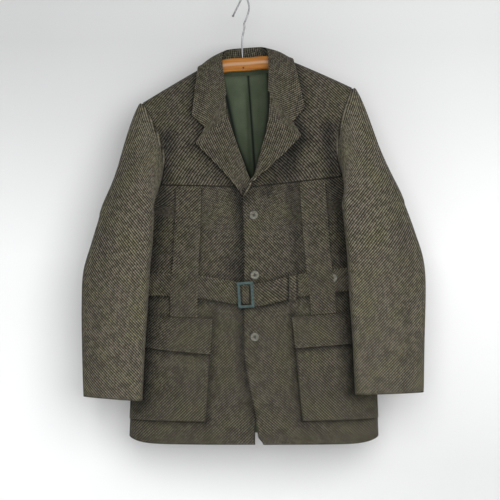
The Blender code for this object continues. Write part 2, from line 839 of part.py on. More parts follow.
def hanger(wood, steel):
    def place(u, v, depth):
        x = lerp(-BAR_HALF_SPAN, BAR_HALF_SPAN, u)
        taper = 1 - 0.35 * abs(2 * u - 1) ** 6
        y = RIDGE_Y + BAR_THICK * taper * (depth - 0.5)
        return Vector((x, y, bar_top(x) - v * BAR_HEIGHT * taper))

    bar = cloth_wall("hanger_bar", 26, 2, place, wood)
    rounded = bar.modifiers.new("rounded", "BEVEL")
    rounded.width = 4 * MM
    rounded.segments = 2
    rounded.limit_method = "ANGLE"
    wire = bpy.data.curves.new("hanger_hook", "CURVE")
    wire.dimensions = "3D"
    wire.bevel_depth = WIRE_DIAMETER / 2 * MM
    wire.bevel_resolution = 2
    wire.use_fill_caps = True
    wire.materials.append(steel)
    points = 40
    run = wire.splines.new("POLY")
    run.points.add(points - 1)
    for i, point in enumerate(run.points):
        x, z = spline(HOOK_ROUTE, i / (points - 1))
        point.co = (x * MM, RIDGE_Y * ease(z / BAR_TOP_Z) * MM, z * MM, 1)
    jacket.objects.link(bpy.data.objects.new("hanger_hook", wire))


for old in list(bpy.data.objects):
    bpy.data.objects.remove(old, do_unlink=True)
jacket = bpy.data.collections.new("tweed_jacket")
bpy.context.scene.collection.children.link(jacket)

tweed = coloured("tweed", TWEED, 0.95, 0.0)

panel("back", 24, 18, back_surface, 1, tweed, facing=1, keep=behind_ridge)
for side, hand in ((-1, "right"), (1, "left")):
    panel(f"front_{hand}", 13, FRONT_ROWS, front_surface(side), side, tweed, facing=-1)
    panel(f"yoke_{hand}", 10, 12, yoke_surface(side), side, tweed, facing=-1, keep=before_ridge)
    panel(f"top_sleeve_{hand}", 15, 19, sleeve_surface(0.72, 1.36, 0.0015), side, tweed)
    panel(f"under_sleeve_{hand}", 9, 19, sleeve_surface(0.36, 0.72, 0.0015), side, tweed)
    lapel(side, hand, LAPEL_EDGE_LEFT if side > 0 else LAPEL_EDGE_RIGHT, tweed)
    strap(side, hand, tweed)
    pockets(side, hand, tweed)
panel("collar_fall", 32, 6, collar_surface, 1, tweed, facing=1)
panel("collar_stand", 20, 2, stand_surface, 1, tweed, facing=1)
belts(tweed)
buckle(coloured("teal_enamel", TEAL, 0.45, 0.0))
horn = coloured("horn", HORN, 0.4, 0.0)
for number, z in enumerate(FRONT_BUTTONS, 1):
    button(f"button_{number}", 1, BUTTON_X, z, ON_CLOTH, horn)
button("belt_button", 1, *BELT_BUTTON, SEAM + ON_CLOTH + CLOTH, horn)
green = coloured("green_lining", LINING, 0.5, 0.0)
lining_half("lining_back_left", 8, 52, CLOTH + 1.5, green)
lining_half("lining_back_right", -48, 21, CLOTH + 1.5 + SEAM + LINING_THICK, green)
hanger(coloured("varnished_wood", WOOD, 0.35, 0.0), coloured("steel_wire", STEEL, 0.3, 1.0))
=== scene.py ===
# %% [markdown]
# # A belted tweed jacket on its hanger
# The jacket hangs from a wire hook. Heavy twilled cloth makes the body, and a green lining shows in
# the open neck. Each cloth piece repeats the curved surface that the solid model has, on a grid fine
# enough for soft creases, with a UV map in metres so that the weave keeps its real size everywhere.

# %% Load the frame
import json
import math

import bmesh
import bpy
from mathutils import Matrix, Vector, noise

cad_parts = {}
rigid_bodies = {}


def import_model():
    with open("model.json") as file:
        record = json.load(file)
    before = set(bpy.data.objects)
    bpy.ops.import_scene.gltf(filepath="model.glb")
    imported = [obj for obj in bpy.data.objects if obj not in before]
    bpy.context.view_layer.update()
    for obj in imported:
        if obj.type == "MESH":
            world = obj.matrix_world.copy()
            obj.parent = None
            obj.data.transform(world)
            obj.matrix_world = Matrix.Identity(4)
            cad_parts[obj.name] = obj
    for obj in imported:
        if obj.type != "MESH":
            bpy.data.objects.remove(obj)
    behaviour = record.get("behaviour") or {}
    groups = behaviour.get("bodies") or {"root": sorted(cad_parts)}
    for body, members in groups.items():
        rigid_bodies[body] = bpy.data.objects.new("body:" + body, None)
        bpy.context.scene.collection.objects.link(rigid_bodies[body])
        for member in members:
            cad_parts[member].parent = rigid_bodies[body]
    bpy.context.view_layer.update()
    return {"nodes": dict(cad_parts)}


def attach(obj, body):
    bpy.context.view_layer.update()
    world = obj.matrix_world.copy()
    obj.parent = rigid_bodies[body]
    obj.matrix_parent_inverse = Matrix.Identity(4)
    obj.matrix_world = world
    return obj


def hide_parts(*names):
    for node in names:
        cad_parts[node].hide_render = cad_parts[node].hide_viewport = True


for old in list(bpy.data.objects):
    bpy.data.objects.remove(old, do_unlink=True)
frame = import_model()
print("frame nodes:", len(frame["nodes"]))

# %% [markdown]
# ## Measures
# These are the garment's own sizes in millimetres, nearly all of them as in the solids. A half is worked
# out with x measured from the centre line and is then mirrored. The last step of every point is hang(),
# which gives the garment the lean that it has on its nail.

# %% Sizes in millimetres
MM = 0.001
CLOTH = 2.0
SEAM = 0.4
ARMHOLE_SEAM = 1.1
ON_CLOTH = 0.9
HEM_Z = -944.0
HEM_RISE = 14.0
ARMPIT_Z = -432.0
SHOULDER_X = 222.0
NECK_X = 70.0
RIDGE_Y = 3.0
SHOULDER_ROLL = 130.0
RIDGE_CROWD = 1.65
YOKE_SEAM_Z = -405.0
LAP = 21.0
BELT_WIDTH = 48.0
BAR_TOP_Z = -131.0
BAR_HEIGHT = 28.0
BAR_THICK = 10.0
BAR_HALF_SPAN = 203.0
SHOULDER_SLOPE = 0.517
BAR_BEND = 60.0
BAR_CLEAR = 1.5
CENTRE_X = 20.4
NECK_LEAN = 18.3
LEAN_FROM_Z = -535.5
LEAN_HEIGHT = 399.0
SHOULDER_PAD = (3.0, 8.0)
PAD_FROM_Z = -340.0
PAD_HEIGHT = 160.0
PAD_REACH = 110.0
SHOULDER_TILT = 0.062
TILT_TOP_Z = -212.0
FRONT_ROUND = 2.7
BACK_ROUND = 3.4
FRONT_ARMHOLE_SHARE = 4 / 18
ARMPIT_SAG = 22.0

# Body sections: height, half width, y of the front, y of the side edge, y of the back
BODY_SECTIONS = [
    (-100, 262, -46, 22, 42),
    (-250, 262, -52, 22, 46),
    (-430, 262, -56, 24, 47),
    (-610, 250, -54, 24, 45),
    (-760, 257, -56, 24, 46),
    (-960, 266, -58, 24, 47),
]

# Armhole seen from the front and from the back: x, z
ARMHOLE_FRONT = [
    (222, -212.2), (206, -245), (188, -295), (182, -345), (193, -392), (222, -424), (261.5, -432),
]
ARMHOLE_BACK = [
    (222, -212.2), (209, -245), (199, -290), (196, -340), (204, -390), (226, -422), (261.5, -432),
]

# Soft folds of the fronts: side, x, top z, bottom z, half width, height out of the cloth
FRONT_FOLDS = [
    (1, 78, -310, -590, 16, -5.0),
    (1, 50, -300, -560, 16, 3.5),
    (-1, 34, -395, -520, 14, -4.0),
    (-1, 150, -640, -930, 40, 2.0),
    (1, 40, -680, -930, 26, 2.0),
]

print("body sections:", len(BODY_SECTIONS), "soft folds:", len(FRONT_FOLDS))

# %% [markdown]
# ## Curves from short tables
# A tailor's curve is known at a few places only. A spline passes smoothly through the rows of a table, and
# a polyline keeps its corners where cloth is cut to a point. Short tables are easier to correct than long
# lists of vertices.


# %% Curves between the rows of a table
def lerp(a, b, t):
    return a + (b - a) * t


def ease(t):
    t = min(1.0, max(0.0, t))
    return t * t * (3 - 2 * t)


def spline(rows, t):
    """A smooth curve through the rows, which are tuples of numbers, for t from 0 to 1."""
    last = len(rows) - 1
    at = min(max(t, 0.0), 1.0) * last
    i = min(int(at), last - 1)
    f = at - i
    a = rows[max(i - 1, 0)]
    b = rows[i]
    c = rows[i + 1]
    d = rows[min(i + 2, last)]
    out = []
    for p, q, r, s in zip(a, b, c, d):
        out.append(q + 0.5 * f * (r - p + f * (2 * p - 5 * q + 4 * r - s + f * (3 * (q - r) + s - p))))
    return out


def polyline(rows, t):
    last = len(rows) - 1
    at = min(max(t, 0.0), 1.0) * last
    i = min(int(at), last - 1)
    return [lerp(p, q, at - i) for p, q in zip(rows[i], rows[i + 1])]


print("half way down the front armhole:", spline(ARMHOLE_FRONT, 0.5))

# %% [markdown]
# ## The body as a surface
# A jacket on a hanger is a flattened tube: its front and back are broad curves that meet at the side
# seams and roll over the shoulders. A cloth simulation could drape it, but a height field, with y worked
# out from x and z, comes out the same every time. Anything sewn on the front can then be laid on that
# field and moved out by its own thickness.


# %% Front and back surfaces
def section(z):
    """Half width and the y of front, side and back at a height, smooth between the rows."""
    heights = [row[0] for row in BODY_SECTIONS]
    z = min(max(z, heights[-1]), heights[0])
    for i in range(len(heights) - 1):
        if z >= heights[i + 1]:
            t = (i + (heights[i] - z) / (heights[i] - heights[i + 1])) / (len(heights) - 1)
            return spline(BODY_SECTIONS, t)[1:]
    return list(BODY_SECTIONS[-1][1:])


def bar_top(x):
    """Height of the hanger bar's top edge: level in the middle, sloping with the shoulders."""
    return BAR_TOP_Z - SHOULDER_SLOPE * ((x**4 + BAR_BEND**4) ** 0.25 - BAR_BEND)


def shoulder_z(x):
    return bar_top(x) + CLOTH + BAR_CLEAR


def rise(x, z):
    """How far the cloth has turned over the shoulder: 0 on the ridge, 1 below the roll."""
    h = min(1.0, max(0.0, (shoulder_z(x) - z) / SHOULDER_ROLL))
    return math.sqrt(1 - (1 - h) ** 2)


def lap_lift(side, x, z):
    """The front on the wearer's left lies over the other one near the centre."""
    if side < 0:
        return 0.0
    height = 3.2 + 2.6 * ease((z + 490) / 60)
    return height * ease((46 - x) / 22)


def fold_height(side, x, z):
    total = 0.0
    for fold_side, at, top, bottom, width, height in FRONT_FOLDS:
        if fold_side == side:
            run = (top - z) / (top - bottom)
            if 0 < run < 1:
                total += height * math.sin(math.pi * run) ** 2 * math.exp(-(((x - at) / width) ** 2))
    return total


def drape(side, x, z):
    """Slow unevenness that hung wool has, a millimetre or so."""
    return 2.2 * noise.noise(Vector((x * side / 70, z / 150, 3.0 * side)))


def front_y(side, x, z):
    half, front, edge, _ = section(z)
    s = min(1.0, abs(x) / half)
    y = edge - (edge - front) * (1 - s**FRONT_ROUND) ** (1 / FRONT_ROUND)
    turned = rise(abs(x), z)
    y = RIDGE_Y + (y - RIDGE_Y) * turned
    return y - lap_lift(side, x, z) - fold_height(side, x, z) - drape(side, x, z) * turned * (1 - s**6)


def front_at(side, turn, z):
    """Point of the front at an angle round the section: 0 at the centre, a quarter turn at the side."""
    x = section(z)[0] * math.sin(turn)
    return Vector((x, front_y(side, x, z), z))


NECK_SEAM = [(62, 7), (58, 24), (35, 38.5), (0, 43)]


def back_ridge(x):
    """y of the back's top edge: on the ridge along the shoulder, round the neck between."""
    s = min(1.0, abs(x) / (NECK_X - 6))
    return RIDGE_Y + (NECK_SEAM[-1][1] - RIDGE_Y) * math.sqrt(1 - s**2.4)


def back_top_z(x):
    s = min(1.0, abs(x) / (NECK_X - 20))
    return shoulder_z(abs(x)) - 10.5 * (1 - s**2.4)


def over_shoulder_z(x, y):
    """Height of the shoulder's cloth at a place seen from above."""
    r = min(0.95, abs(y - RIDGE_Y) / 50)
    return shoulder_z(abs(x)) - SHOULDER_ROLL * (1 - math.sqrt(1 - r * r))


def back_at(turn, z):
    half, _, edge, back = section(z)
    x = half * math.sin(turn)
    s = min(1.0, abs(x) / half)
    y = edge + (back - edge) * (1 - s**BACK_ROUND) ** (1 / BACK_ROUND)
    ridge = back_ridge(x)
    y = ridge + (y - ridge) * rise(abs(x), z)
    return Vector((x, y, z))


def turn_of(x, z):
    return math.asin(max(-1.0, min(1.0, x / section(z)[0])))


def hem_rise(turn, z):
    """The hem swings up towards the side seams."""
    down = max(0.0, (ARMPIT_Z - z) / (ARMPIT_Z - HEM_Z))
    return HEM_RISE * down**4 * math.sin(abs(turn)) ** 12


def hang(p):
    """The lean of the garment on its nail: the centre moves sideways and one shoulder sits higher."""
    up = max(0.0, p.z - LEAN_FROM_Z) / LEAN_HEIGHT
    lean = CENTRE_X - NECK_LEAN * min(up, 1.08) ** 1.3
    tilt = SHOULDER_TILT * min(1.0, (p.z - HEM_Z) / (TILT_TOP_Z - HEM_Z))
    pad = SHOULDER_PAD[p.x > 0] * ease((p.z - PAD_FROM_Z) / PAD_HEIGHT) * ease(abs(p.x) / PAD_REACH)
    return Vector((p.x + lean, p.y, p.z + p.x * tilt + pad))


print("front at the chest:", [round(c, 1) for c in front_at(1, 0.3, -350)])

# %% [markdown]
# ## From a surface to a piece of cloth
# A sewn panel is a thin wall with a grain. The helper starts with a flat grid, moves each vertex onto
# the garment, then extrudes the whole grid and pushes the copy in along the normals, so the wall is as
# thick everywhere. A Solidify modifier would do that too, but here the inside keeps its places on the
# grid and can be lined and mapped. The UV map is the panel laid flat: distances measured along the cloth,
# in metres. Two more maps, "sides" and "ends", hold how far each point is from the edges, for the shade
# painted along edges and for pale edge lines.

# %% Grid to cloth wall
BEVEL_WIDTH = 0.7 * MM
flat_cuts = {}


def normal_of(surface, u, v):
    """Unit normal of surface(u, v) by small steps that stay inside the unit square."""
    step = 1e-3
    u0, u1 = max(0.0, u - step), min(1.0, u + step)
    v0, v1 = max(0.0, v - step), min(1.0, v + step)
    across = surface(u1, v) - surface(u0, v)
    down = surface(u, v1) - surface(u, v0)
    return across.cross(down).normalized()


def mirrored(p, side):
    return Vector((p.x * side, p.y, p.z))


def laid_flat(spots, columns, rows, straight):
    """Flat place of each grid point, run along its row from the straight-grain column and up its column
    from the last row, then its distances from both sides and from both ends."""
    flat, sides, ends = {}, {}, {}
    for j in range(rows + 1):
        run = [0.0]
        for i in range(1, columns + 1):
            run.append(run[-1] + (spots[i, j] - spots[i - 1, j]).length)
        for i in range(columns + 1):
            flat[i, j] = [run[i] - run[straight], 0.0]
            sides[i, j] = (run[i], run[-1] - run[i])
    for i in range(columns + 1):
        up = [0.0]
        for j in range(rows - 1, -1, -1):
            up.append(up[-1] + (spots[i, j] - spots[i, j + 1]).length)
        for j in range(rows + 1):
            flat[i, j][1] = up[rows - j]
            ends[i, j] = (up[-1] - up[rows - j], up[rows - j])
    return flat, sides, ends


def cut_of(flat, columns, rows):
    """Width, length and area of the flat cut, from its UV outline."""
    across = [spot[0] for spot in flat.values()]
    upward = [spot[1] for spot in flat.values()]
    area = 0.0
    for i in range(columns):
        for j in range(rows):
            a, b, c, d = flat[i, j], flat[i + 1, j], flat[i + 1, j + 1], flat[i, j + 1]
            area += abs((c[0] - a[0]) * (d[1] - b[1]) - (d[0] - b[0]) * (c[1] - a[1])) / 2
    width, length = max(across) - min(across), max(upward) - min(upward)
    return width, length, min(area, width * length)


def finish_piece(name, bm, material, inner=None):
    """Closes a bmesh into a piece that rides on the frame's only body."""
    mesh = bpy.data.meshes.new(name)
    bm.to_mesh(mesh)
    bm.free()
    mesh.materials.append(material)
    if inner:
        mesh.materials.append(inner)
    mesh.shade_smooth()
    piece = bpy.data.objects.new(name, mesh)
    bpy.context.scene.collection.objects.link(piece)
    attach(piece, "root")
    return piece


def cloth(name, columns, rows, surface, material, side=1, facing=1, thick=CLOTH,
          straight=0.5, inner=None, facing_share=0.0, shade=None):
    """A cloth wall whose outer face is surface(u, v) in millimetres. facing is 1 where across x down
    points out of the garment. inner is the material of the inside, past facing_share of the width.
    shade(x, z) is how much shade is painted into the colour there, from 0 to 1."""
    bm = bmesh.new()
    bmesh.ops.create_grid(bm, x_segments=columns, y_segments=rows, size=0.5)
    cell = bm.verts.layers.int.new("cell")
    painted_shade = bm.verts.layers.float.new("painted_shade")
    grid = {}
    for vert in bm.verts:
        i, j = round((vert.co.x + 0.5) * columns), round((vert.co.y + 0.5) * rows)
        vert[cell] = i * (rows + 1) + j
        point = surface(i / columns, j / rows)
        # Painted shade, kept on the mesh for the wool and the lining to read
        vert[painted_shade] = shade(point.x, point.z) if shade else 0.0
        vert.co = hang(mirrored(point, side)) * MM
        grid[i, j] = vert
    if facing * side < 0:
        bmesh.ops.reverse_faces(bm, faces=bm.faces)
    bm.normal_update()
    spots = {key: vert.co.copy() for key, vert in grid.items()}
    away = {vert[cell]: vert.normal.copy() for vert in bm.verts}
    flat, sides, ends = laid_flat(spots, columns, rows, round(straight * columns))
    flat_cuts[name] = cut_of(flat, columns, rows)
    grown = bmesh.ops.extrude_face_region(bm, geom=list(bm.faces), use_keep_orig=True)
    inside = [item for item in grown["geom"] if isinstance(item, bmesh.types.BMVert)]
    for vert in inside:
        vert.co -= away[vert[cell]] * thick * MM
    inside = set(inside)
    bmesh.ops.recalc_face_normals(bm, faces=bm.faces)
    if bm.calc_volume(signed=True) < 0:
        bmesh.ops.reverse_faces(bm, faces=bm.faces)
    maps = [(bm.loops.layers.uv.new(kind), places) for kind, places in
            (("cloth", flat), ("sides", sides), ("ends", ends))]
    for face in bm.faces:
        cells = [divmod(vert[cell], rows + 1) for vert in face.verts]
        for layer, places in maps:
            for loop, spot in zip(face.loops, cells):
                loop[layer].uv = places[spot]
        lined = inner and all(vert in inside for vert in face.verts)
        if lined and min(spot[0] for spot in cells) >= facing_share * columns:
            face.material_index = 1
    piece = finish_piece(f"{name}_cloth", bm, material, inner)
    rounded = piece.modifiers.new("rounded edge", "BEVEL")
    rounded.width = BEVEL_WIDTH
    rounded.segments = 2
    rounded.limit_method = "ANGLE"
    rounded.angle_limit = math.radians(55)
    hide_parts(name)
    return piece


def declare_sheet(name, piece):
    width, length, area = flat_cuts[name]
    print(f"{name}: cut {width * 1000:.0f} x {length * 1000:.0f} mm, {area:.4f} m2")


print("edges of the cloth are rounded by", BEVEL_WIDTH / MM, "mm")

# %% [markdown]
# ## Back, fronts and yokes
# The back is cut in one. Each front runs from the yoke seam to the hem, and its buttoned edge swings away
# below the last button. A yoke covers the chest from the shoulder to that seam. It is a patch between
# four edges (shoulder, armhole, seam and neck), blended so that every edge is met exactly.

# %% Body panels
YOKE_ARMHOLE_END = 0.655
YOKE_INNER = [
    (66, -133.4), (53, -170), (49, -222), (42, -267),
    (30.5, -311), (18, -351), (5.5, -389), (-12, -404.6),
]
YOKE_LAP = 1.5


def front_edge_x(side, z):
    """The buttoned edges swing away from the centre below the last button."""
    swing = ease((-735 - z) / 200)
    if side > 0:
        return lerp(-LAP, 8, swing) + 12 * ease((-925 - z) / 20)
    return lerp(-LAP + 1, -2.5, swing)


def front_surface(side):
    """From the yoke seam to the hem; the outer edge is the rest of the armhole, then the side seam."""

    def surface(u, v):
        if v < FRONT_ARMHOLE_SHARE:
            down = v / FRONT_ARMHOLE_SHARE
            outer_x, outer_z = spline(ARMHOLE_FRONT, lerp(YOKE_ARMHOLE_END + 0.004, 1, down))
            outer_z -= 2.5 * math.sin(math.pi * down)
            outer_turn = turn_of(outer_x, outer_z)
        else:
            outer_z = lerp(ARMPIT_Z, HEM_Z, (v - FRONT_ARMHOLE_SHARE) / (1 - FRONT_ARMHOLE_SHARE))
            outer_turn = math.pi / 2
        inner_z = lerp(YOKE_SEAM_Z, HEM_Z, v)
        inner_x = front_edge_x(side, inner_z)
        inner_turn = turn_of(inner_x, inner_z)
        turn = lerp(inner_turn, outer_turn, u)
        reach = (math.sin(turn) - math.sin(inner_turn)) / (math.sin(outer_turn) - math.sin(inner_turn))
        z = lerp(inner_z, outer_z, reach)
        point = front_at(side, turn, z + hem_rise(turn, z))
        point.y -= 0.3 * u**12
        return point

    return surface


def yoke_surface(side):
    """From the shoulder seam to the yoke seam, between the neck and the armhole."""

    def shoulder(u):
        x = lerp(NECK_X - 4, SHOULDER_X, u)
        return Vector((x, 0, shoulder_z(x)))

    def seam(u):
        x, z = spline(ARMHOLE_FRONT, YOKE_ARMHOLE_END)
        start_x = YOKE_INNER[-1][0]
        start_z = lerp(YOKE_SEAM_Z, z, (start_x + LAP) / (x + LAP)) + 2 * SEAM
        return Vector((start_x, 0, start_z)).lerp(Vector((x, 0, z)), u)

    def inner(v):
        x, z = spline(YOKE_INNER, v)
        ends = (shoulder(0) - Vector((YOKE_INNER[0][0], 0, YOKE_INNER[0][1]))) * (1 - v)
        ends += (seam(0) - Vector((YOKE_INNER[-1][0], 0, YOKE_INNER[-1][1]))) * v
        return Vector((x, 0, z)) + ends

    def outer(v):
        x, z = spline(ARMHOLE_FRONT, v * YOKE_ARMHOLE_END)
        return Vector((x, 0, z))

    def surface(u, v):
        v = v**RIDGE_CROWD
        sides = inner(v).lerp(outer(v), u)
        ends = shoulder(u).lerp(seam(u), v)
        corners = shoulder(0).lerp(shoulder(1), u).lerp(seam(0).lerp(seam(1), u), v)
        p = sides + ends - corners
        lap = YOKE_LAP * ease((v - 0.93) / 0.07)
        y = front_y(side, p.x, p.z) - lap
        return Vector((p.x, min(y, RIDGE_Y - SEAM / 2), p.z))

    return surface


BACK_HEM_RISE = 18.0
BACK_RISE_X = -6.0
BACK_RISE_REACH = 110.0
RIDGE_FADE = 0.15
RIDGE_EASE = 20.0


def back_surface(u, v):
    """Whole back, from the neck and shoulder seams to the hem."""
    v = v**RIDGE_CROWD
    across = 2 * u - 1
    edge = abs(across)
    share = 0.5**RIDGE_CROWD
    top = min(1.0, v / share)
    if v < share:
        outer_x, outer_z = spline(ARMHOLE_BACK, top)
        outer_z -= 2.5 * math.sin(math.pi * top**3)
        outer_turn = turn_of(outer_x, outer_z)
        middle_z = lerp(back_top_z(0), ARMPIT_Z - ARMPIT_SAG, top)
    else:
        below = (v - share) / (1 - share)
        outer_z = lerp(ARMPIT_Z, HEM_Z, below)
        outer_turn = math.pi / 2
        middle_z = lerp(ARMPIT_Z - ARMPIT_SAG, HEM_Z, below)
    z = lerp(middle_z, outer_z, edge**1.5)
    ridge_z = back_top_z(SHOULDER_X)
    ridge_x = section(ridge_z)[0] * math.sin(turn_of(SHOULDER_X, ridge_z) * edge)
    crown = back_top_z(ridge_x) - lerp(back_top_z(0), ridge_z, edge**1.5)
    z += (1 - top) * crown
    z += hem_rise(outer_turn * edge, z)
    point = back_at(outer_turn * edge, z)
    point.x = math.copysign(point.x, across)
    middle = math.exp(-(((point.x - BACK_RISE_X) / BACK_RISE_REACH) ** 2))
    point.z += BACK_HEM_RISE * middle * ease((v - 0.86) / 0.14)
    point.y += 0.3 * edge**12 * (v >= share)
    uneven = noise.noise(Vector((point.x / 80, z / 140, 9.0)))
    point.y += 1.4 * uneven * rise(abs(point.x), z) * (1 - edge**6)
    point.y = max(point.y, RIDGE_Y + SEAM / 2)
    return point


def closed_on_ridge(surface, ridge_y):
    """The surface with its top edge drawn onto the shoulder seam; the shift fades out below."""

    def closed(u, v):
        point = surface(u, v)
        fade = 1 - ease(v / RIDGE_FADE)
        if fade > 0:
            top = surface(u, 0.0)
            point.y += (ridge_y - top.y) * fade * ease((abs(top.x) - NECK_X) / RIDGE_EASE)
        return point

    return closed


print("yoke seam at the armhole:", [round(c, 1) for c in yoke_surface(1)(1.0, 1.0)])

# %% [markdown]
# ## Sleeves
# A tailored sleeve has two pieces, a broad top sleeve and a narrower under sleeve. Both are strips of one
# tube: a loop round the armhole is joined by smooth curves to a column of flattened rings that hang in
# front of the body. Rings alone would be simpler, but the cap has to follow the armhole all the way
# round. Creases are soft bumps along that tube, each a row of a short table.

# %% Sleeve tube
ARMHOLE_LAP = 4.4
SLEEVE_LIFT = 0.5
SLEEVE_CAP_PULL = 90.0
SLEEVE_SQUARE = 2.5
SHOULDER_ANGLE = -62.0
CAP_SHARE = 0.34
TUCK = Vector((-5.0, 0.0, -3.0))
TUCK_SHARE = 0.014
HEAD_FULL = Vector((1.5, -1.0, 3.5))

# Sleeve rings: z, x and y of the centre, half width, half depth, turn of the long axis in degrees
SLEEVE_RINGS = [
    (-452, 256, -66, 66, 31, 26),
    (-510, 268, -69, 72, 33, 22),
    (-569, 279, -71, 77, 34, 18),
    (-640, 283, -72, 76, 32, 15),
    (-740, 286, -72, 71, 29, 12),
    (-846, 287, -72, 67, 27, 10),
]

# How the sleeve leaves the armhole: place round the loop, direction and length of the first run
SLEEVE_STARTS = [
    (0.00, (34, -8, -30)),
    (0.20, (16, -66, -40)),
    (0.38, (2, -80, -34)),
    (0.44, (22, -66, -4)),
    (0.50, (40, -40, -4)),
    (0.57, (54, 6, -2)),
    (0.66, (66, 30, -16)),
    (0.80, (70, 34, -50)),
]

# Each sleeve hangs a little differently: shift of the rings away from the body, added half width
SLEEVE_SET = {-1: (8.0, -4.5), 1: (-4.0, 6.0)}

# Creases: side, place round the sleeve, place down it, spread round, spread down, slant, height
SLEEVE_CREASES = [
    (-1, 0.07, 0.22, 0.035, 0.20, -0.10, 3.0),
    (-1, 0.16, 0.24, 0.040, 0.18, -0.05, -3.0),
    (-1, 0.02, 0.58, 0.090, 0.035, 1.4, -2.4),
    (-1, 0.10, 0.66, 0.080, 0.030, -1.2, 2.0),
    (-1, 0.15, 0.72, 0.060, 0.030, -1.4, -2.0),
    (1, 0.06, 0.22, 0.035, 0.22, -0.12, 3.0),
    (1, 0.15, 0.25, 0.040, 0.20, -0.06, -3.2),
    (1, 0.04, 0.60, 0.080, 0.040, 1.2, -2.2),
    (1, 0.12, 0.55, 0.060, 0.035, -1.3, 2.2),
    (1, 0.08, 0.78, 0.070, 0.040, 1.0, -1.8),
]


def armhole_point(w):
    """Closed armhole loop: 0 at the shoulder, down the front to the armpit at 0.5, up the back."""
    if w <= 0.5:
        x, z = spline(ARMHOLE_FRONT, w / 0.5)
        y = front_y(-1, x, z)
        away = Vector(((y - front_y(-1, x - 0.5, z)) / 0.5, -1, 0))
    else:
        x, z = spline(ARMHOLE_BACK, (1 - w) / 0.5)
        y = back_at(turn_of(x, z), z).y
        away = Vector(((back_at(turn_of(x - 0.5, z), z).y - y) / 0.5, 1, 0))
    over = math.sin(math.pi * min(1.0, max(0.0, (w - 0.26) / 0.48))) ** 2
    point = Vector((x + ARMHOLE_SEAM, y, z))
    return point + (away.normalized() * ARMHOLE_LAP + Vector((0, 0, SLEEVE_LIFT))) * over


def sleeve_start(w):
    rows = SLEEVE_STARTS + [(1.0, SLEEVE_STARTS[0][1])]
    for (w0, a), (w1, b) in zip(rows, rows[1:]):
        if w <= w1:
            return Vector(a).lerp(Vector(b), ease((w - w0) / (w1 - w0)))
    return Vector(rows[0][1])


def ring_point(side, w, t):
    """Point of a ring and the direction out of the sleeve there."""
    z, x, y, half, depth, turn = spline(SLEEVE_RINGS, t)
    shift, wider = SLEEVE_SET[side]
    x += shift
    half += wider
    angle = math.radians(SHOULDER_ANGLE - 360 * w)
    power = 2 / SLEEVE_SQUARE
    c, s = math.cos(angle), math.sin(angle)
    long_way = half * math.copysign(abs(c) ** power, c)
    short_way = depth * math.copysign(abs(s) ** power, s)
    turned = math.radians(turn)
    arm = Vector((
        long_way * math.cos(turned) - short_way * math.sin(turned),
        long_way * math.sin(turned) + short_way * math.cos(turned),
        0,
    ))
    return Vector((x, y, z)) + arm, arm.normalized()


def sleeve_crease(side, w, v):
    total = 1.6 * noise.noise(Vector((w * 9, v * 5, 5.0 * side)))
    for crease_side, at_w, at_v, wide, tall, slant, height in SLEEVE_CREASES:
        if crease_side == side:
            near = (w - at_w + 0.5) % 1.0 - 0.5
            across = (near - slant * (v - at_v) * 0.3) / wide
            total += height * math.exp(-(across**2) - ((v - at_v) / tall) ** 2)
    return total * ease(v / 0.12) * ease((1 - v) / 0.06)


def sleeve_head(w, v):
    """The seam tucks under the shoulder, and the head of the sleeve stands a little above it."""
    if v > 0.2:
        return Vector()
    over = 1 - ease((min(w, 1 - w) - 0.2) / 0.08)
    tuck = TUCK * max(0.0, 1 - v / TUCK_SHARE) * over
    full = HEAD_FULL * ease(v / 0.02) * ease((0.2 - v) / 0.18) * (1 - ease((min(w, 1 - w) - 0.02) / 0.16))
    return tuck + full


CUFF_LIFT = {-1: 1.0, 1: 8.0}
CUFF_TILT = {-1: 0.08, 1: 0.02}
CUFF_X = 280.0


def sleeve_at(side, w, v):
    """Sleeve surface: the cap from the armhole to the first ring, then the rings to the cuff."""
    w %= 1.0
    if v >= CAP_SHARE:
        point, away = ring_point(side, w, (v - CAP_SHARE) / (1 - CAP_SHARE))
    else:
        t = v / CAP_SHARE
        start = armhole_point(w)
        end, away = ring_point(side, w, 0.0)
        arrive = Vector((0, 0, -SLEEVE_CAP_PULL))
        h = t * t
        g = h * t
        point = start * (2 * g - 3 * h + 1) + sleeve_start(w) * (g - 2 * h + t) * 2
        point += end * (3 * h - 2 * g) + arrive * (g - h)
    point.z += (CUFF_LIFT[side] + CUFF_TILT[side] * (point.x - CUFF_X)) * ease((v - 0.55) / 0.45)
    return point + away * sleeve_crease(side, w, v) + sleeve_head(w, v)


def sleeve_surface(side, w0, w1, gap):
    def surface(u, v):
        return sleeve_at(side, lerp(w0 + gap, w1 - gap, u), v)

    return surface


print("a place on the left cuff:", [round(c, 1) for c in sleeve_at(1, 0.0, 1.0)])

# %% [markdown]
# ## What lies on the front
# Lapels, straps, belt, pockets and flaps are all laid on the front's own surface: a place is given by x
# and z, and the piece is moved out along the front's normal by the height of what lies below it.


# %% Pieces laid on the front
def front_normal(side, x, z):
    """Direction straight out of a front at x and z."""
    across = front_y(side, x + 0.5, z) - front_y(side, x - 0.5, z)
    up = front_y(side, x, z + 0.5) - front_y(side, x, z - 0.5)
    return Vector((across, -1, up)).normalized()


def on_front(side, x, z, out):
    """Point of a front moved out from the cloth, before it is mirrored to its side."""
    return Vector((x, front_y(side, x, z), z)) + front_normal(side, x, z) * out


def laid_on_front(side, edges, out):
    """Surface that lies on a front: edges(u, v) gives x and z, out(u, v) its height."""

    def surface(u, v):
        return on_front(side, *edges(u, v), out(u, v))

    return surface


print("straight out of the chest:", [round(c, 2) for c in front_normal(1, 100, -350)])

# %% [markdown]
# ## Lapels
# A lapel is the front's own edge turned back along a roll line. It could be a fold in the front's mesh.
# As a sheet of its own, between the roll line and the cut edge, it can swell at the roll and lift a little
# at its tip.

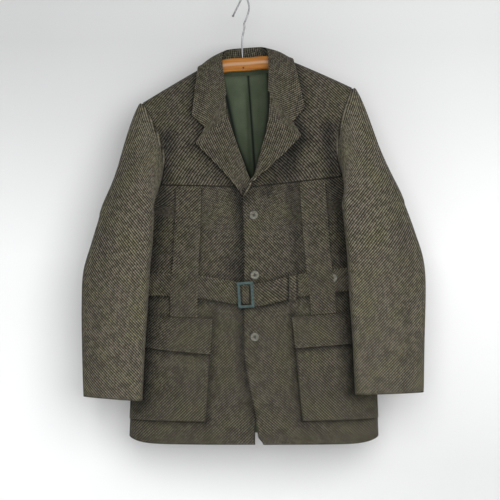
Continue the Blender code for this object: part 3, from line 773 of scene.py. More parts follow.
# %% Lapels
ROLL_LINE = [
    (48.5, -130), (47, -168), (45, -222), (38, -267), (26.5, -311), (14, -351), (1.5, -389), (-18, -424),
]
LAPEL_EDGE_LEFT = [(92.5, -277), (107, -303), (68, -337), (20, -376), (-5, -397), (-18.5, -423)]
LAPEL_EDGE_RIGHT = [(92.5, -277), (112, -306), (72, -352), (42, -388), (24, -412), (20.5, -419)]
GORGE_AT = 0.254
LAPEL_ROLL = 7.5
LAPEL_EDGE_LIFT = 9.0
NOTCH_SHARE = 2 / 3
COLLAR_END_LIFT = 10.0


def collar_lift(v):
    """How far the collar stands off the shoulder, from its fold (0) to its outer edge (1)."""
    return 2 * math.sin(math.pi * v) + COLLAR_END_LIFT * v**2


def lapel_surface(side):
    """Turned-back front edge, between the roll line and the lapel's own edge."""
    edge_rows = LAPEL_EDGE_LEFT if side > 0 else LAPEL_EDGE_RIGHT
    roll_end = 0.975 if side > 0 else 0.86

    def edges(u, v):
        inner = spline(ROLL_LINE, lerp(GORGE_AT, roll_end, v))
        outer = polyline(edge_rows, v)
        return lerp(inner[0], outer[0], u), lerp(inner[1], outer[1], u)

    def out(u, v):
        roll = LAPEL_ROLL * math.sin(math.pi * min(1.0, u * 1.4)) * (1 - 0.55 * v)
        edge = LAPEL_EDGE_LIFT * u**2 * ease((1 - v) / 0.3)
        lying = ON_CLOTH + CLOTH + YOKE_LAP * ease(v / 0.5) + roll + edge
        level = SEAM + 2 * CLOTH + collar_lift(u * NOTCH_SHARE)
        return lerp(level, lying, ease(v / 0.22))

    return laid_on_front(side, edges, out)


print("tip of the left lapel:", [round(c, 1) for c in lapel_surface(1)(1.0, 0.2)])

# %% [markdown]
# ## Collar
# The fall of the collar turns over a stand that rises from the neck seam. Its fold line runs from one
# gorge round the back of the neck to the other, and its outer edge drops onto the shoulders. A sheet
# between those two curves is easier to shape than a folded tube. The notch is the short step between the
# collar's end and the lapel.

# %% Collar fall and stand
COLLAR_NOTCH = (91.5, -275.2)
COLLAR_FOLD = [
    (43.5, -44, -206), (46.5, -33, -172), (48.5, -14, -138), (47.5, 4, -117), (41, 28, -108),
    (23, 41, -104), (0, 46, -103),
]
COLLAR_EDGE = [
    (118.5, -44, -247), (111, -42, -205), (104, -26, -160), (100, 4, -145), (86, 36, -147),
    (48, 57, -160), (0, 62, -163),
]


def collar_point(t, v):
    """Fall of the collar: t from its front end to the back, v from the fold to the outer edge."""
    fold, edge = Vector(spline(COLLAR_FOLD, t)), Vector(spline(COLLAR_EDGE, t))
    point = fold.lerp(edge, v)
    front_end = max(0.0, 1 - t / 0.2)
    gorge = [COLLAR_FOLD[0][::2], COLLAR_NOTCH, COLLAR_EDGE[0][::2]]
    if v < NOTCH_SHARE:
        run = v / (2 * NOTCH_SHARE)
    else:
        run = 0.5 + (v - NOTCH_SHARE) / (2 - 2 * NOTCH_SHARE)
    x, z = polyline(gorge, run)
    point.x += (x - lerp(gorge[0][0], gorge[2][0], v)) * front_end
    point.z += (z - lerp(gorge[0][1], gorge[2][1], v)) * front_end
    crown = math.sin(math.pi * v)
    point.z += 5 * crown * ease((t - 0.2) / 0.3)
    clear = SEAM + 2 * CLOTH
    over_front = front_y(1, point.x, point.z) - clear - collar_lift(v)
    point.y = lerp(min(point.y, over_front), point.y, ease((t - 0.25) / 0.15))
    if abs(point.x) > NECK_X - 10:
        shoulder = over_shoulder_z(point.x, point.y) + clear + 3.0
        point.z = max(point.z, lerp(point.z, shoulder, ease((t - 0.15) / 0.15)))
    return point


def collar_surface(u, v):
    across = 2 * u - 1
    point = collar_point(1 - abs(across), v)
    point.x = math.copysign(point.x, across)
    return point


def stand_surface(u, v):
    """Stand of the collar, inside the fall: v from the fold down to the neck seam."""
    across = 2 * u - 1
    t = 1 - abs(across)
    fold = Vector(spline(COLLAR_FOLD, lerp(0.5, 1.0, t)))
    x, y = spline(NECK_SEAM, t)
    seam = Vector((x, y, back_top_z(x) + 3 * SEAM))
    inward = Vector((-fold.x, -fold.y, 0)).normalized()
    top = fold + inward * 3.4 + Vector((0, 0, -2.5))
    point = top.lerp(seam, v)
    point.x = math.copysign(point.x, across)
    return point


print("collar's edge at the back:", [round(c, 1) for c in collar_surface(0.5, 1.0)])

# %% [markdown]
# ## Straps, belt and keeper
# Two straps run from the yoke seam down to the pocket flaps and hold the belt, which sags a little
# towards its buckle. Where one layer passes over another its height eases up and down again, as thick
# wool does.

# %% Straps and belt
STRAP_EDGES = {
    1: [(101, 153), (106, 159), (120, 172)],
    -1: [(107, 159), (115, 169), (119, 176)],
}
STRAP_END_Z = -674.0
STRAP_END_X = 120.0
STRAP_END_SLOPE = 0.057
BUCKLE_X = -18.0
KEEPER_X = 81.0
KEEPER_WIDTH = 14.0
KEEPER_THICK = 1.6
TONGUE_END = 97.0
BELT_END_X = 243.0


def belt_z(x):
    """Centre line of the belt, which sags towards the buckle."""
    return -597 - 33 / (1 + (x / 95) ** 2)


def strap_surface(side):
    def edges(u, v):
        x = lerp(*spline(STRAP_EDGES[side], v), u)
        return x, lerp(YOKE_SEAM_Z + 5, STRAP_END_Z + STRAP_END_SLOPE * (x - STRAP_END_X), v)

    def out(u, v):
        x, z = edges(u, v)
        away = abs(z - belt_z(x)) - BELT_WIDTH / 2
        return ON_CLOTH + CLOTH + (CLOTH + SEAM + 0.6) * (1 - ease((away - 5) / 18))

    return laid_on_front(side, edges, out)


def belt_half_width(x):
    """The belt draws in where it passes through the buckle."""
    return BELT_WIDTH / 2 - 3.6 * math.exp(-(((x - BUCKLE_X) / 16) ** 2))


def belt_edges(x_from, x_to, side):
    def edges(u, v):
        z = belt_z(x_to)
        x = section(z)[0] * math.sin(lerp(turn_of(x_from, z), turn_of(x_to, z), u))
        return x, belt_z(x) + lerp(1, -1, v) * belt_half_width(side * x)

    return edges


def tongue_out(x, z):
    """The belt that comes through the buckle climbs over the lap and then over the other half."""
    lap = 3.9 * ease((50 - x) / 24) if x > LAP - 1 else lap_lift(1, -x, z) + 0.7
    over = (CLOTH + SEAM + 0.3) * ease((12 - x) / 12)
    return ON_CLOTH + CLOTH + lap + over


def belt_surface(side):
    if side > 0:
        return laid_on_front(1, belt_edges(-2, BELT_END_X, 1), lambda u, v: ON_CLOTH + CLOTH)
    edges = belt_edges(-TONGUE_END, BELT_END_X, -1)
    return laid_on_front(-1, edges, lambda u, v: tongue_out(*edges(u, v)))


def keeper_surface(u, v):
    """Loop round both halves of the belt; its rows crowd at the ends, where it turns down."""
    row = 0.5 + 0.5 * math.copysign(abs(2 * v - 1) ** 0.3, v - 0.5)
    x = KEEPER_X + lerp(-KEEPER_WIDTH, KEEPER_WIDTH, u) / 2
    z = belt_z(x) + lerp(1, -1, row) * (BELT_WIDTH / 2 + 4)
    over = 3 * CLOTH + ON_CLOTH + 2.4
    down = ease(max(0.0, abs(2 * row - 1) - 0.86) / 0.14)
    return on_front(1, x, z, lerp(over, ON_CLOTH + KEEPER_THICK, down))


print("middle of the belt at the buckle:", round(belt_z(BUCKLE_X), 1))

# %% [markdown]
# ## Pockets
# A bellows pocket stands off the front on a pleated gusset, so it has a face, three narrow sides and an
# open top under a flap. The grid's outermost rings of cells become the gusset, so that the pocket stays
# one sheet with one flat cut.

# %% Pockets and flaps
POCKET_INNER_TOP = {-1: 90.0, 1: 82.0}
POCKET_INNER_BOTTOM = 102.0
POCKET_OUTER_TURN = 1.27
FLAP_TOP_Z = -678.0
FLAP_BOTTOM_Z = -742.0
POCKET_BOTTOM_Z = -893.0
FLAP_RISE = 11.0
FLAP_DROP = {-1: 10.0, 1: 0.0}
POCKET_RISE = 3.0
POCKET_STAND = 12.0
POCKET_COLUMNS = 36
POCKET_ROWS = 44
GUSSET_RINGS = 3
GUSSET_TUCK = 2.2
GUSSET_FLARE = 2.4


def pocket_edges(side, u, v, top_z, bottom_z):
    z = lerp(top_z, bottom_z, v)
    drop = (FLAP_TOP_Z - z) / (FLAP_TOP_Z - POCKET_BOTTOM_Z)
    inner = turn_of(lerp(POCKET_INNER_TOP[side], POCKET_INNER_BOTTOM, drop), z)
    x = section(z)[0] * math.sin(lerp(inner, POCKET_OUTER_TURN, u))
    below_flap = (FLAP_BOTTOM_Z - z) / (FLAP_BOTTOM_Z - POCKET_BOTTOM_Z)
    return x, z + u * lerp(FLAP_RISE, POCKET_RISE, ease(below_flap))


def bag(z):
    """How far the pocket stands out from the front at a height."""
    return ON_CLOTH + CLOTH + POCKET_STAND * math.sqrt(ease((FLAP_TOP_Z - z) / 110))


def pocket_surface(side):
    def surface(u, v):
        left = min(1.0, u * POCKET_COLUMNS / GUSSET_RINGS)
        right = min(1.0, (1 - u) * POCKET_COLUMNS / GUSSET_RINGS)
        low = min(1.0, (1 - v) * POCKET_ROWS / GUSSET_RINGS)
        across = (u * POCKET_COLUMNS - GUSSET_RINGS) / (POCKET_COLUMNS - 2 * GUSSET_RINGS)
        across = min(1.0, max(0.0, across))
        down = min(1.0, v * POCKET_ROWS / (POCKET_ROWS - GUSSET_RINGS))
        x, z = pocket_edges(side, across, down, FLAP_TOP_Z - 12, POCKET_BOTTOM_Z)
        beside = min(left, right)
        stand = min(beside, low)
        inward = 1 if left < right else -1
        x += inward * (GUSSET_TUCK * math.sin(math.pi * beside) - GUSSET_FLARE * (1 - beside))
        z += GUSSET_TUCK * math.sin(math.pi * low) - GUSSET_FLARE * (1 - low)
        puff = 3.0 * math.sin(math.pi * across) * math.sin(math.pi * down) * (stand >= 1)
        level = lerp(FLAP_TOP_Z - 12, POCKET_BOTTOM_Z, down)
        height = lerp(ON_CLOTH, bag(level), stand) + puff
        return on_front(side, x, z, height)

    return surface


def flap_surface(side):
    def edges(u, v):
        x, z = pocket_edges(side, lerp(-0.012, 1.012, u), v, FLAP_TOP_Z, FLAP_BOTTOM_Z)
        return x, z - FLAP_DROP[side] * (1 - u) * v

    def out(u, v):
        z = lerp(FLAP_TOP_Z, FLAP_BOTTOM_Z, v)
        over = bag(z) + (CLOTH + ON_CLOTH) * ease((FLAP_TOP_Z - z - 1) / 8)
        return over + 3.2 * math.sin(math.pi * u) * ease(v) + 1.2 * v

    return laid_on_front(side, edges, out)


print("the pocket's foot stands out by", round(bag(POCKET_BOTTOM_Z), 1), "mm")

# %% [markdown]
# ## Lining
# Green twill lines the back. An ease pleat runs down its middle: one half overlaps the other and its
# edge rolls forward, and a painted shadow darkens the lining beside that edge.

# %% Lining halves
LINING_THICK = 1.0
LINING_TOP_Z = -163.0
LINING_END_Z = -480.0
LINING_SIDES = (-48.0, 52.0)
UNDER_HALF_CLEAR = 1.5
UPPER_HALF_CLEAR = 1.9
PLEAT_ROLL = 6.0
PLEAT_X = 4.5
PLEAT_DEPTH = 13.0


def lining_surface(x_from, x_to, inside, pleat):
    """Half of the back lining, just inside the back. pleat is 1 where the far edge rolls forward."""

    def surface(u, v):
        x = lerp(x_from, x_to, u)
        z = lerp(LINING_TOP_Z, LINING_END_Z, v)
        point = back_at(turn_of(abs(x), z), z)
        point.x = math.copysign(point.x, x)
        roll = PLEAT_ROLL * pleat * math.exp(-(((1 - u) / 0.12) ** 2)) * ease(v / 0.15)
        soft = 1.6 * math.sin(x / 9.0 + v * 1.5) * ease(v / 0.2)
        point.y -= inside + roll + max(0.0, soft)
        return point

    return surface


print("length of the lining:", LINING_TOP_Z - LINING_END_Z, "mm")

# %% [markdown]
# ## Painted shade on the wool
# Shade is painted into the cloth's colour where shadow falls: in the lee of whatever is sewn over it,
# beside the sleeves and along a few folds. A short table of lines on each front gives that: the line's
# points, how far the painted shade reaches in millimetres, and its strength. The value is kept on the
# mesh as an attribute for the wool to read.

# %% Painted shade lines on the fronts
# Painted shadow of each sleeve on the front, the pocket and the flap
SLEEVE_SHADOW_LINES = {
    -1: [(176, -290), (184, -350), (188, -403), (208, -514), (222, -640), (229, -724), (236, -850)],
    1: [(168, -290), (168, -350), (173, -400), (187, -514), (198, -620), (206, -724), (211, -829)],
}
STRAP_STEPS = (0.0, 0.25, 0.5, 0.75, 1.0)
# Painted shadow beside each lapel's roll on the lining: points, reach in mm and strength
LINING_SHADOW_LINES = [
    ([(-54, -164), (-44, -210), (-29, -304), (-3, -384)], 5.5, 0.97),
    ([(49, -162), (46, -241), (33, -304), (9, -378)], 6.0, 0.92),
]


def strap_point(side, u, v):
    inner, outer = spline(STRAP_EDGES[side], v)
    return lerp(inner, outer, u), lerp(YOKE_SEAM_Z, STRAP_END_Z, v)


def flap_bottom(side):
    """Points just under the lower edge of a flap."""
    spots = [(u, pocket_edges(side, u, 1.0, FLAP_TOP_Z, FLAP_BOTTOM_Z)) for u in (0.0, 0.5, 1.0)]
    return [(x, z - FLAP_DROP[side] * (1 - u) - 3) for u, (x, z) in spots]


# Painted shade lines of a front: beside what is sewn on, beside the sleeve and along a few folds
def painted_shade_lines(side):
    lapel = LAPEL_EDGE_LEFT if side > 0 else LAPEL_EDGE_RIGHT
    pocket = [(POCKET_INNER_TOP[side], FLAP_TOP_Z), (POCKET_INNER_BOTTOM, POCKET_BOTTOM_Z)]
    lines = [
        (lapel, 17, 0.75 if side > 0 else 0.6),
        ([COLLAR_NOTCH, COLLAR_EDGE[0][::2], COLLAR_EDGE[1][::2], COLLAR_EDGE[2][::2]], 12, 0.6),
        (SLEEVE_SHADOW_LINES[side], 20, 0.7),
        (pocket, 13, 0.6),
        ([strap_point(side, 0.0, v) for v in STRAP_STEPS], 4, 0.7),
        ([strap_point(side, 1.0, v) for v in STRAP_STEPS], 4, 0.85),
        ([(x, belt_z(x) - BELT_WIDTH / 2) for x in (-40, -18, 20, 60, 100, 160, 240)], 8, 0.75),
        ([(x, belt_z(x) + BELT_WIDTH / 2) for x in (-18, 20, 60, 100)], 9, 0.5),
        ([pocket_edges(side, u, 1.0, FLAP_TOP_Z, POCKET_BOTTOM_Z) for u in (0.0, 0.5, 1.0)], 6, 0.7),
        ([pocket_edges(side, u, 0.0, FLAP_TOP_Z, POCKET_BOTTOM_Z) for u in (0.0, 0.5, 1.0)], 4, 0.6),
    ]
    if side < 0:
        heights = [-424, -500, -600, -700, -760, -820, -880, HEM_Z]
        lines.append(([(-front_edge_x(1, z), z) for z in heights], 15, 0.7))
        lines.append(([(34, -400), (30, -460), (30, -520)], 14, 0.45))
        lines.append(([(44, -560), (30, -592), (14, -606)], 20, 0.5))
    else:
        lines.append(([(92, -290), (84, -400), (88, -500), (92, -585)], 15, 0.5))
        lines.append(([(112, -300), (104, -320), (84, -352), (47, -390), (30, -416)], 15, 0.65))
    return lines


def distance_to(x, z, a, b):
    """Distance of a place from the straight run between two points of a line."""
    run = (b[0] - a[0], b[1] - a[1])
    along = ((x - a[0]) * run[0] + (z - a[1]) * run[1]) / (run[0] ** 2 + run[1] ** 2)
    along = min(1.0, max(0.0, along))
    return math.hypot(x - a[0] - along * run[0], z - a[1] - along * run[1])


def shade_of(lines):
    def shade(x, z):
        clear = 1.0
        for points, reach, strength in lines:
            nearest = min(distance_to(x, z, a, b) for a, b in zip(points, points[1:]))
            clear *= 1 - strength * math.exp(-((nearest / reach) ** 2))
        return 1 - clear

    return shade


FRONT_SHADE = {side: shade_of(painted_shade_lines(side)) for side in (-1, 1)}
FLAP_SHADE = {side: shade_of([(SLEEVE_SHADOW_LINES[side], 24, 0.8)]) for side in (-1, 1)}
POCKET_SHADE = {
    side: shade_of([(SLEEVE_SHADOW_LINES[side], 24, 0.85), (flap_bottom(side), 5, 0.9)]) for side in (-1, 1)
}
# Painted shadow along the pleat's rolled edge
PLEAT_SHADOW_LINE = ([(PLEAT_X, LINING_TOP_Z), (PLEAT_X + 3.5, -368)], 2.6, 0.97)
LINING_SHADE = shade_of(LINING_SHADOW_LINES + [PLEAT_SHADOW_LINE])
# Painted shadow on the belt beside the keeper and in the buckle's window: x and reach
SHADOW_LINES_ON_BELT = [
    (KEEPER_X - KEEPER_WIDTH / 2 - 2, 3.0), (KEEPER_X + KEEPER_WIDTH / 2 + 2, 2.6),
    (BUCKLE_X - 9.5, 1.8), (BUCKLE_X + 9.5, 1.8),
]
BELT_SHADE = {
    side: shade_of([([(side * x, z) for z in (-570, -670)], reach, 0.92) for x, reach in SHADOW_LINES_ON_BELT])
    for side in (-1, 1)
}
# A broad band of painted shade down each top sleeve, where it turns away from the light
SLEEVE_SHADE = {
    -1: shade_of([([(250, -330), (310, -480), (338, -640), (335, -800)], 22, 0.2)]),
    1: shade_of([([(290, -400), (322, -560), (322, -700), (320, -820)], 16, 0.16)]),
}
# Number of painted shade lines on each front
print("dull lines on each front:", [len(painted_shade_lines(side)) for side in (-1, 1)])

# %% [markdown]
# ## Finishes
# A node group holds each effect that more than one material uses. The weave group draws a crossed twill:
# one diagonal wave is strong and the other is weak, and white noise gives every diamond between them a
# shade of its own. It puts out values and a height, and the Principled shader stays in the material.

# %% Helpers for node groups
def socket(group, name, kind, direction, value=None):
    made = group.interface.new_socket(name=name, in_out=direction, socket_type="NodeSocket" + kind)
    if value is not None:
        made.default_value = value


class Wiring:
    """Adds nodes to a tree and links their inputs, so that a finish reads as a short recipe."""

    def __init__(self, tree):
        self.tree = tree

    def put(self, kind, settings=None, **inputs):
        node = self.tree.nodes.new("ShaderNode" + kind)
        for name, value in (settings or {}).items():
            setattr(node, name, value)
        for name, value in inputs.items():
            key = int(name[1:]) if name[1:].isdigit() else name.replace("_", " ")
            self.feed(node.inputs[key], value)
        return node

    def feed(self, target, value):
        if isinstance(value, bpy.types.NodeSocket):
            self.tree.links.new(value, target)
        else:
            target.default_value = value

    def math(self, operation, a, b=0.0, c=0.0):
        return self.put("Math", {"operation": operation}, i0=a, i1=b, i2=c).outputs[0]

    def ramp(self, value, stops):
        node = self.put("ValToRGB", Fac=value)
        elements = node.color_ramp.elements
        while len(elements) < len(stops):
            elements.new(0.5)
        for element, (at, colour) in zip(elements, stops):
            element.position = at
            element.color = (*colour, 1)
        return node.outputs["Color"]

    def mix(self, factor, a, b, blend="MIX"):
        node = self.put("Mix", {"data_type": "RGBA", "blend_type": blend})
        self.feed(node.inputs["Factor"], factor)
        self.feed(node.inputs["A"], a)
        self.feed(node.inputs["B"], b)
        return node.outputs["Result"]

    def noise(self, vector, scale, detail=2.0):
        return self.put("TexNoise", Vector=vector, Scale=scale, Detail=detail).outputs["Fac"]


# %% Crossed twill group
WEAVE_PITCH = 0.0064
WEAVE_CROSS = 0.35
TWILL_SHARE = 0.72


def weave_group():
    """Crossed twill on a UV map in metres."""
    group = bpy.data.node_groups.new("crossed twill", "ShaderNodeTree")
    socket(group, "Cloth", "Vector", "INPUT")
    socket(group, "Pitch", "Float", "INPUT", WEAVE_PITCH)
    socket(group, "Cross", "Float", "INPUT", WEAVE_CROSS)
    socket(group, "Twill", "Float", "OUTPUT")
    socket(group, "Fleck", "Float", "OUTPUT")
    socket(group, "Height", "Float", "OUTPUT")
    w = Wiring(group)
    given = group.nodes.new("NodeGroupInput")
    put_out = group.nodes.new("NodeGroupOutput")
    wobble = w.put("TexNoise", Vector=given.outputs["Cloth"], Scale=60.0, Detail=1.0)
    small = w.put("VectorMath", {"operation": "SCALE"}, i0=wobble.outputs["Color"])
    small.inputs["Scale"].default_value = 0.0010
    bent = w.put("VectorMath", {"operation": "ADD"}, i0=given.outputs["Cloth"], i1=small.outputs[0])
    uv = w.put("SeparateXYZ", i0=bent.outputs[0])
    u, v = uv.outputs[0], uv.outputs[1]
    falls = w.math("DIVIDE", w.math("ADD", u, v), given.outputs["Pitch"])
    climbs = w.math("DIVIDE", w.math("SUBTRACT", u, v), given.outputs["Pitch"])
    strong = w.math("SINE", w.math("MULTIPLY", falls, 2 * math.pi))
    weak = w.math("SINE", w.math("MULTIPLY", climbs, 2 * math.pi))
    both = w.math("ADD", strong, w.math("MULTIPLY", weak, given.outputs["Cross"]))
    reach = w.math("MULTIPLY", w.math("ADD", given.outputs["Cross"], 1.0), 2.0)
    twill = w.math("ADD", w.math("DIVIDE", both, reach), 0.5)
    cell = w.put("CombineXYZ", i0=w.math("FLOOR", falls), i1=w.math("FLOOR", climbs))
    fleck = w.put("TexWhiteNoise", {"noise_dimensions": "2D"}, Vector=cell.outputs[0]).outputs["Value"]
    height = w.math("ADD", w.math("MULTIPLY", twill, 0.7), w.math("MULTIPLY", fleck, 0.3))
    w.feed(put_out.inputs["Twill"], twill)
    w.feed(put_out.inputs["Fleck"], fleck)
    w.feed(put_out.inputs["Height"], height)
    return group


weave = weave_group()
print("weave group nodes:", len(weave.nodes))

# %% [markdown]
# ## Wool tweed
# Tweed is woven from dyed yarns, so its colour changes from thread to thread. A picture of cloth could be
# wrapped on, but a ramp over the weave's own values keeps its size and grain on every piece. Masks that
# read the maps of distances paint shade along seams and edges and pale lines along others, which on the
# lapels, collar and belt are partly wear and partly painted highlight.

# %% Wool tweed
EDGES = ("First side", "Last side", "Top", "Bottom")


def new_material(name, roughness, metallic=0.0):
    material = bpy.data.materials.new(name)
    material.use_nodes = True
    shader = material.node_tree.nodes["Principled BSDF"]
    shader.inputs["Roughness"].default_value = roughness
    shader.inputs["Metallic"].default_value = metallic
    return material, Wiring(material.node_tree), shader


def edge_group():
    """A mask along each edge of a piece. The width is in metres."""
    group = bpy.data.node_groups.new("edges of a piece", "ShaderNodeTree")
    for name, kind in (("Sides", "Vector"), ("Ends", "Vector"), ("Width", "Float")):
        socket(group, name, kind, "INPUT")
    for name in EDGES:
        socket(group, name, "Float", "OUTPUT")
    w = Wiring(group)
    given = group.nodes.new("NodeGroupInput")
    put_out = group.nodes.new("NodeGroupOutput")
    sides = w.put("SeparateXYZ", i0=given.outputs["Sides"])
    ends = w.put("SeparateXYZ", i0=given.outputs["Ends"])
    distances = (sides.outputs[0], sides.outputs[1], ends.outputs[0], ends.outputs[1])
    for name, distance in zip(EDGES, distances):
        clamped = {"operation": "DIVIDE", "use_clamp": True}
        share = w.put("Math", clamped, i0=distance, i1=given.outputs["Width"])
        w.feed(put_out.inputs[name], w.math("SUBTRACT", 1.0, share.outputs[0]))
    return group


edges_of_piece = edge_group()
YARN = [
    (0.14, (0.010, 0.0090, 0.0066)),
    (0.45, (0.043, 0.0387, 0.0285)),
    (0.66, (0.086, 0.0774, 0.0568)),
    (0.92, (0.170, 0.1530, 0.1130)),
]
PATCHES = [
    (0.34, (0.99, 0.97, 1.01)),
    (0.50, (1.0, 1.0, 0.98)),
    (0.66, (1.01, 1.03, 0.91)),
]
# Bluish-dark multiplier of the painted shade that the attribute sets, where shadow falls
PAINTED_SHADE_TINT = (0.22, 0.23, 0.28)
# Painted shade along seams and the edges of pieces
PAINTED_EDGE_SHADE = (0.45, 0.45, 0.46)
# Darker painted shadow along the sleeves' armhole seams
PAINTED_SEAM_SHADOW = (0.25, 0.25, 0.26)
# Pale line along some edges: partly wear, partly painted highlight
WEAR_AND_HIGHLIGHT = (1.5, 1.5, 1.45)
# Plain paler edges of straps, flaps and the keeper
PALER_EDGE = (1.25, 1.25, 1.23)
# Near-black painted shadow along the lapel's roll
PAINTED_FOLD_SHADOW = (0.06, 0.06, 0.06)


def tweed(name, edges, edge_width=0.0024, turned=0.0, painted_light=1.0):
    """Olive-brown wool. edges gives the shade that multiplies the colour along some edges, turned rotates
    the grain on a piece that is cut another way, and the last argument scales the whole colour, a lighter
    copy painted for pieces that catch more light."""
    material, w, shader = new_material(name, 0.92)
    uv = w.put("UVMap", {"uv_map": "cloth"}).outputs[0]
    grain = w.put("Mapping", Vector=uv, Rotation=(0.0, 0.0, turned)).outputs[0]
    woven = w.put("Group", {"node_tree": weave}, Cloth=grain)
    shade = w.math("ADD", w.math("MULTIPLY", woven.outputs["Twill"], TWILL_SHARE),
                   w.math("MULTIPLY", woven.outputs["Fleck"], 1 - TWILL_SHARE))
    yarn = [(at, tuple(painted_light * c for c in colour)) for at, colour in YARN]
    colour = w.mix(1.0, w.ramp(shade, yarn), w.ramp(w.noise(uv, 17.0, 1.0), PATCHES), "MULTIPLY")
    masks = w.put("Group", {"node_tree": edges_of_piece}, Width=edge_width)
    w.feed(masks.inputs["Sides"], w.put("UVMap", {"uv_map": "sides"}).outputs[0])
    w.feed(masks.inputs["Ends"], w.put("UVMap", {"uv_map": "ends"}).outputs[0])
    # Painted shade and pale lines along the chosen edges
    for edge, tint in edges.items():
        colour = w.mix(masks.outputs[edge], colour, w.mix(1.0, colour, (*tint, 1), "MULTIPLY"))
    # Painted shade from the attribute darkens the colour where shadow falls
    painted_shade = w.put("Attribute", {"attribute_name": "painted_shade"}).outputs["Fac"]
    colour = w.mix(painted_shade, colour, w.mix(1.0, colour, (*PAINTED_SHADE_TINT, 1), "MULTIPLY"))
    w.feed(shader.inputs["Base Color"], colour)
    bump = w.put("Bump", Height=woven.outputs["Height"], Strength=0.25, Distance=0.0005)
    w.feed(shader.inputs["Normal"], bump.outputs[0])
    shader.inputs["Sheen Weight"].default_value = 0.03
    shader.inputs["Sheen Roughness"].default_value = 0.5
    shader.inputs["Specular IOR Level"].default_value = 0.08
    return material


wool = tweed("wool tweed", {edge: PAINTED_EDGE_SHADE for edge in EDGES})
# The sleeves' copy is painted lighter for the stronger light on them, with painted shade at the armhole
# seam and cuff
sleeve_wool_painted_lighter = tweed("wool tweed of the sleeves", {"Top": PAINTED_SEAM_SHADOW, "Bottom": PAINTED_EDGE_SHADE}, 0.005, painted_light=1.4)
wool_strip = tweed("wool tweed of straps and flaps", {edge: PALER_EDGE for edge in EDGES})
# The belt's top edge is paler, partly wear and partly painted highlight, and its lower edge has painted
# shade
wool_across = tweed("wool tweed of the belt", {"Top": WEAR_AND_HIGHLIGHT, "Bottom": PAINTED_EDGE_SHADE}, turned=math.radians(90))
LAPEL_TURN = 0.66
# The lapel's roll side has a painted shadow line; its outer edge a pale line, partly wear and partly
# painted highlight
LAPEL_SHADOW_AND_HIGHLIGHT = {"First side": PAINTED_FOLD_SHADOW, "Last side": WEAR_AND_HIGHLIGHT}
wool_lapel = tweed("wool tweed of the lapels", LAPEL_SHADOW_AND_HIGHLIGHT, turned=LAPEL_TURN)
wool_collar = tweed("wool tweed of the collar", {"Bottom": WEAR_AND_HIGHLIGHT}, turned=LAPEL_TURN)
print("tweed nodes:", len(wool.node_tree.nodes))

# %% [markdown]
# ## The other finishes
# Lining, thread, varnished wood, steel wire, horn and enamel each have a ramp over noise, stretched along
# the grain for the wood. One flat colour would be simpler, but it looks like plastic close up, and noise
# gives each finish the unevenness of the real thing.

# %% Lining, thread, wood, wire, horn and enamel
PALE_BAND_AND_HIGHLIGHT = (0.44, 0.285, 0.18)
# Colour of the lining's painted shadow
LINING_SHADOW_COLOUR = (0.0040, 0.0060, 0.0050)


def lining_finish():
    """Smooth green twill with fine diagonal lines, with painted shadow under the lapels and in its pleat.
    """
    material, w, shader = new_material("green twill lining", 0.7)
    uv = w.put("UVMap", {"uv_map": "cloth"}).outputs[0]
    woven = w.put("Group", {"node_tree": weave}, Cloth=uv, Pitch=0.0022, Cross=0.0)
    cloud = w.noise(uv, 30.0, 3.0)
    shade = w.math("ADD", w.math("MULTIPLY", cloud, 0.7), w.math("MULTIPLY", woven.outputs["Twill"], 0.3))
    colour = w.ramp(shade, [(0.25, (0.054, 0.072, 0.042)), (0.75, (0.090, 0.112, 0.071))])
    # Near-black painted shadow beside the lapels' rolls and in the pleat, from the attribute
    painted_shade = w.put("Attribute", {"attribute_name": "painted_shade"}).outputs["Fac"]
    w.feed(shader.inputs["Base Color"], w.mix(painted_shade, colour, (*LINING_SHADOW_COLOUR, 1)))
    bump = w.put("Bump", Height=woven.outputs["Twill"], Strength=0.2, Distance=0.0002)
    w.feed(shader.inputs["Normal"], bump.outputs[0])
    shader.inputs["Specular IOR Level"].default_value = 0.12
    return material


def thread_finish():
    material, w, shader = new_material("sewing thread", 0.8)
    place = w.put("TexCoord").outputs["Object"]
    colour = w.ramp(w.noise(place, 900.0), [(0.3, (0.026, 0.023, 0.017)), (0.7, (0.070, 0.063, 0.046))])
    w.feed(shader.inputs["Base Color"], colour)
    return material


def wood_finish():
    """Varnished bent beech: long grain along the bar, darker growth lines and small pores."""
    material, w, shader = new_material("varnished wood", 0.5)
    place = w.put("TexCoord").outputs["Object"]
    long_way = w.put("Mapping", Vector=place, Scale=(5.0, 60.0, 110.0)).outputs[0]
    rings = w.noise(long_way, 2.2, 5.0)
    pores = w.noise(w.put("Mapping", Vector=place, Scale=(60.0, 900.0, 1400.0)).outputs[0], 1.0, 2.0)
    grain = w.math("ADD", w.math("MULTIPLY", rings, 0.75), w.math("MULTIPLY", pores, 0.25))
    colour = w.ramp(grain, [
        (0.32, (0.22, 0.073, 0.009)), (0.52, (0.33, 0.122, 0.016)), (0.70, (0.40, 0.165, 0.030)),
    ])
    # A pale band across the upper middle of the bar: partly its own pale band, partly a painted highlight
    across = w.put("Attribute", {"attribute_name": "across"}).outputs["Fac"]
    none, full = (0.0, 0.0, 0.0), (0.7, 0.7, 0.7)
    band_and_highlight = w.ramp(across, [(0.28, none), (0.40, full), (0.50, full), (0.60, none)])
    colour = w.mix(w.put("RGBToBW", i0=band_and_highlight).outputs[0], colour, (*PALE_BAND_AND_HIGHLIGHT, 1))
    w.feed(shader.inputs["Base Color"], colour)
    bump = w.put("Bump", Height=grain, Strength=0.2, Distance=0.0004)
    w.feed(shader.inputs["Normal"], bump.outputs[0])
    shader.inputs["Specular IOR Level"].default_value = 0.12
    shader.inputs["Coat Weight"].default_value = 0.04
    shader.inputs["Coat Roughness"].default_value = 0.2
    return material


